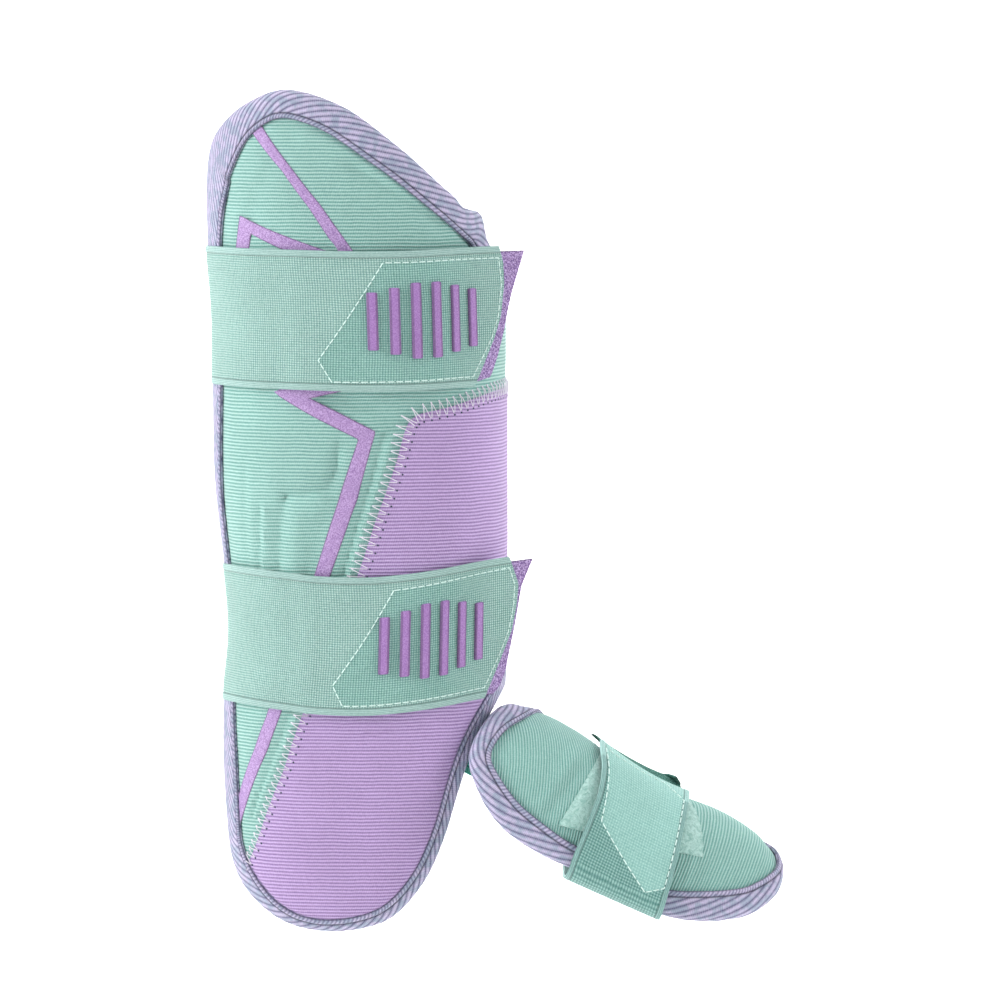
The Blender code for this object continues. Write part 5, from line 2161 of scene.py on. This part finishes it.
@dataclass
class Studio:
    """A pale floor that sweeps up behind, soft lights and the camera."""

    centre: Vector = field(default_factory=lambda: Vector((0.0662, 0.0, -0.0122)))
    distance: float = 2.6
    elevation: float = math.radians(4.5)
    frame_width: float = 0.46
    floor_level: float = -0.36

    def make_floor(self) -> bpy.types.Object:
        """Builds the floor and backdrop in one sweep."""
        profile = [(-3.0, 0.0), (1.6, 0.0)]
        profile += [(1.6 + 1.2 * math.sin(a), 1.2 - 1.2 * math.cos(a)) for a in np.radians(range(6, 91, 6))]
        profile.append((2.8, 4.0))
        line = even_line(np.array(profile), 121)
        columns = lambda u: (u - 0.5) * 9.0

        def place(u: Points, v: Points) -> Points:
            row = np.rint(v * 120).astype(int)
            return np.column_stack((columns(u), line[row, 0], line[row, 1] + self.floor_level))

        floor = lay_grid("studio_floor", 4, 120, place, lambda u, v: np.column_stack((u, v)))
        floor.data.materials.append(Plain("studio_paper", (0.93, 0.93, 0.93, 1.0), 0.9).make())
        smooth(floor)
        return floor

    def add_light(self, name: str, place: tuple, aim: tuple, size: tuple, power: float) -> None:
        """Hangs a rectangular soft light.

        Args:
            name: The light's name.
            place: Where it hangs.
            aim: The point that it faces.
            size: Its width and height.
            power: Watts.
        """
        lamp = bpy.data.lights.new(name, "AREA")
        lamp.shape = "RECTANGLE"
        lamp.size, lamp.size_y = size
        lamp.energy = power
        light = bpy.data.objects.new(name, lamp)
        bpy.context.scene.collection.objects.link(light)
        light.location = place
        light.rotation_euler = (Vector(aim) - Vector(place)).to_track_quat("-Z", "Y").to_euler()

    def light(self) -> None:
        """Sets the room's light and the soft lights on both sides."""
        world = bpy.data.worlds.new("studio_air")
        bpy.context.scene.world = world
        world.use_nodes = True
        world.node_tree.nodes["Background"].inputs["Color"].default_value = (1.0, 1.0, 1.0, 1.0)
        world.node_tree.nodes["Background"].inputs["Strength"].default_value = 0.32
        self.add_light("left_bank", (-1.9, -0.8, 0.8), (0.0, 0.0, 0.0), (0.9, 1.8), 50.0)
        self.add_light("right_bank", (1.9, -0.5, 0.5), (0.05, 0.0, 0.0), (0.9, 1.8), 24.0)
        self.add_light("top_bank", (0.1, -0.9, 2.0), (0.05, 0.0, 0.0), (1.0, 0.8), 10.0)
        self.add_light("backdrop_bank", (0.0, 0.8, 1.8), (0.0, 2.6, 0.6), (3.0, 1.0), 140.0)
        bpy.context.scene.view_settings.view_transform = "Standard"

    def place_camera(self) -> None:
        """Sets the camera at the height and angle of the photograph."""
        lens = bpy.data.cameras.new("camera")
        lens.sensor_width = 36.0
        lens.lens = 36.0 * self.distance / self.frame_width
        lens.clip_end = 50.0
        camera = bpy.data.objects.new("camera", lens)
        bpy.context.scene.collection.objects.link(camera)
        back = Vector((0.0, -math.cos(self.elevation), math.sin(self.elevation)))
        camera.location = self.centre + back * self.distance
        camera.rotation_euler = (-back).to_track_quat("-Z", "Y").to_euler()
        bpy.context.scene.camera = camera


def main() -> None:
    logging.basicConfig(level=logging.INFO, format="%(name)s: %(message)s")
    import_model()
    leg, instep = Leg(), Instep()

    cloth = RibbedCloth("mint_ribbed", srgb(175, 210, 203), srgb(93, 148, 140)).make()
    foot_cloth = RibbedCloth(
        "mint_ribbed_foot", srgb(170, 207, 200), srgb(98, 152, 144), 0.0014, yarn_share=0.07
    ).make()
    lilac = RibbedCloth("lilac_ribbed", srgb(203, 177, 223), srgb(134, 108, 158)).make()
    lining = Brushed("mint_lining", srgb(150, 190, 181), srgb(120, 165, 155), 300.0, 0.0002).make()
    elastic = Elastic(
        "mint_elastic_wide", srgb(192, 222, 215), srgb(86, 136, 128), 0.063, sewn=(0.80, 0.92, 0.90)
    ).make()
    foot_elastic = Elastic(
        "mint_elastic_foot", srgb(156, 198, 191), srgb(62, 118, 111), 0.0455, sewn=(1.55, 1.42, 1.42),
        pitch=0.00129, column=0.0012, selvedge=0.0024, calm=0.6,
    ).make()
    web = Elastic(
        "mint_elastic_link", srgb(112, 226, 194), srgb(40, 170, 138), 0.026, sewn=(1.0, 1.0, 1.0)
    ).make()
    tape = TwillTape("lilac_twill", srgb(198, 190, 218), srgb(164, 174, 196), srgb(90, 88, 122))
    foot_tape = TwillTape("lilac_twill_foot", tape.cord, tape.cool, tape.groove, slant=math.radians(16.0))
    film = Speckled("purple_film_speckled", srgb(190, 161, 208), srgb(146, 114, 170), 0.008).make()
    # The ribs get a wider rim of painted shade.
    rubber = Speckled(
        "purple_rubber", srgb(170, 130, 190), srgb(148, 108, 172), 0.0042, rim=0.0009, relief=0.00004
    ).make()
    hooks = Speckled(
        "purple_hooks", srgb(206, 178, 228), srgb(126, 98, 156), 0.063, grain=1700.0, relief=0.0003,
        roughness=0.8,
    ).make()
    teal = Speckled(
        "teal_hooks", srgb(84, 140, 128), srgb(40, 96, 84), 0.0455, grain=1500.0, relief=0.0003,
        roughness=0.85,
    ).make()
    pile = Brushed("mint_loops", srgb(190, 224, 217), srgb(120, 172, 162)).make()
    thread = Plain("mint_thread", srgb(214, 238, 232)).make()
    cream = Plain("cream_thread", srgb(224, 220, 230)).make()
    # A dark colour that paints the shade inside the needle holes.
    hole = Plain("needle_hole_shade", srgb(60, 66, 84), 0.9).make()

    shin = ShinGuard(leg)
    shin.make_pad(cloth, lining)
    shin.make_panel(lilac)
    shin.make_stripe("trim_stripe_top", TOP_STRIPE, film)
    shin.make_stripe("trim_stripe_zigzag", ZIGZAG_STRIPE, film)
    shin.make_stripe("trim_stripe_chevron", CHEVRON_STRIPE, film)
    shin.make_seam(cream, hole)
    bulge, notch = leg.flat((Spot(31.0, 0.838), Spot(42.0, 0.860)))
    binding = Binding(leg, shin.wall, tape, SHIN_TAPE, bulge=bulge, notch=notch)
    binding.make("shin_binding_tape", "shin_binding", tape.make())
    for strap in (
        CalfStrap(leg, "upper", 0.729, 0.6, 0.16, UPPER_STITCHES, UPPER_END, UPPER_TAB, UPPER_SAG),
        CalfStrap(leg, "lower", 0.363, 2.2, 0.13, LOWER_STITCHES, LOWER_END, LOWER_TAB, LOWER_SAG),
    ):
        strap.make_strap(elastic)
        strap.make_patch(hooks)
        strap.make_ribs(rubber)
        strap.make_stitches(thread)
    foot = FootGuard(instep)
    foot.make_pad(foot_cloth, lining)
    foot.make_patch(pile)
    Binding(instep, foot.wall, foot_tape, FOOT_TAPE).make("foot_binding_tape", "foot_binding", foot_tape.make())
    belt = FootStrap(instep)
    belt.make_strap(foot_elastic)
    belt.make_patch(teal)
    belt.make_stitches(thread)
    AnkleLink(leg, instep).make(web)

    studio = Studio()
    studio.make_floor()
    studio.light()
    studio.place_camera()


if __name__ == "__main__":
    main()
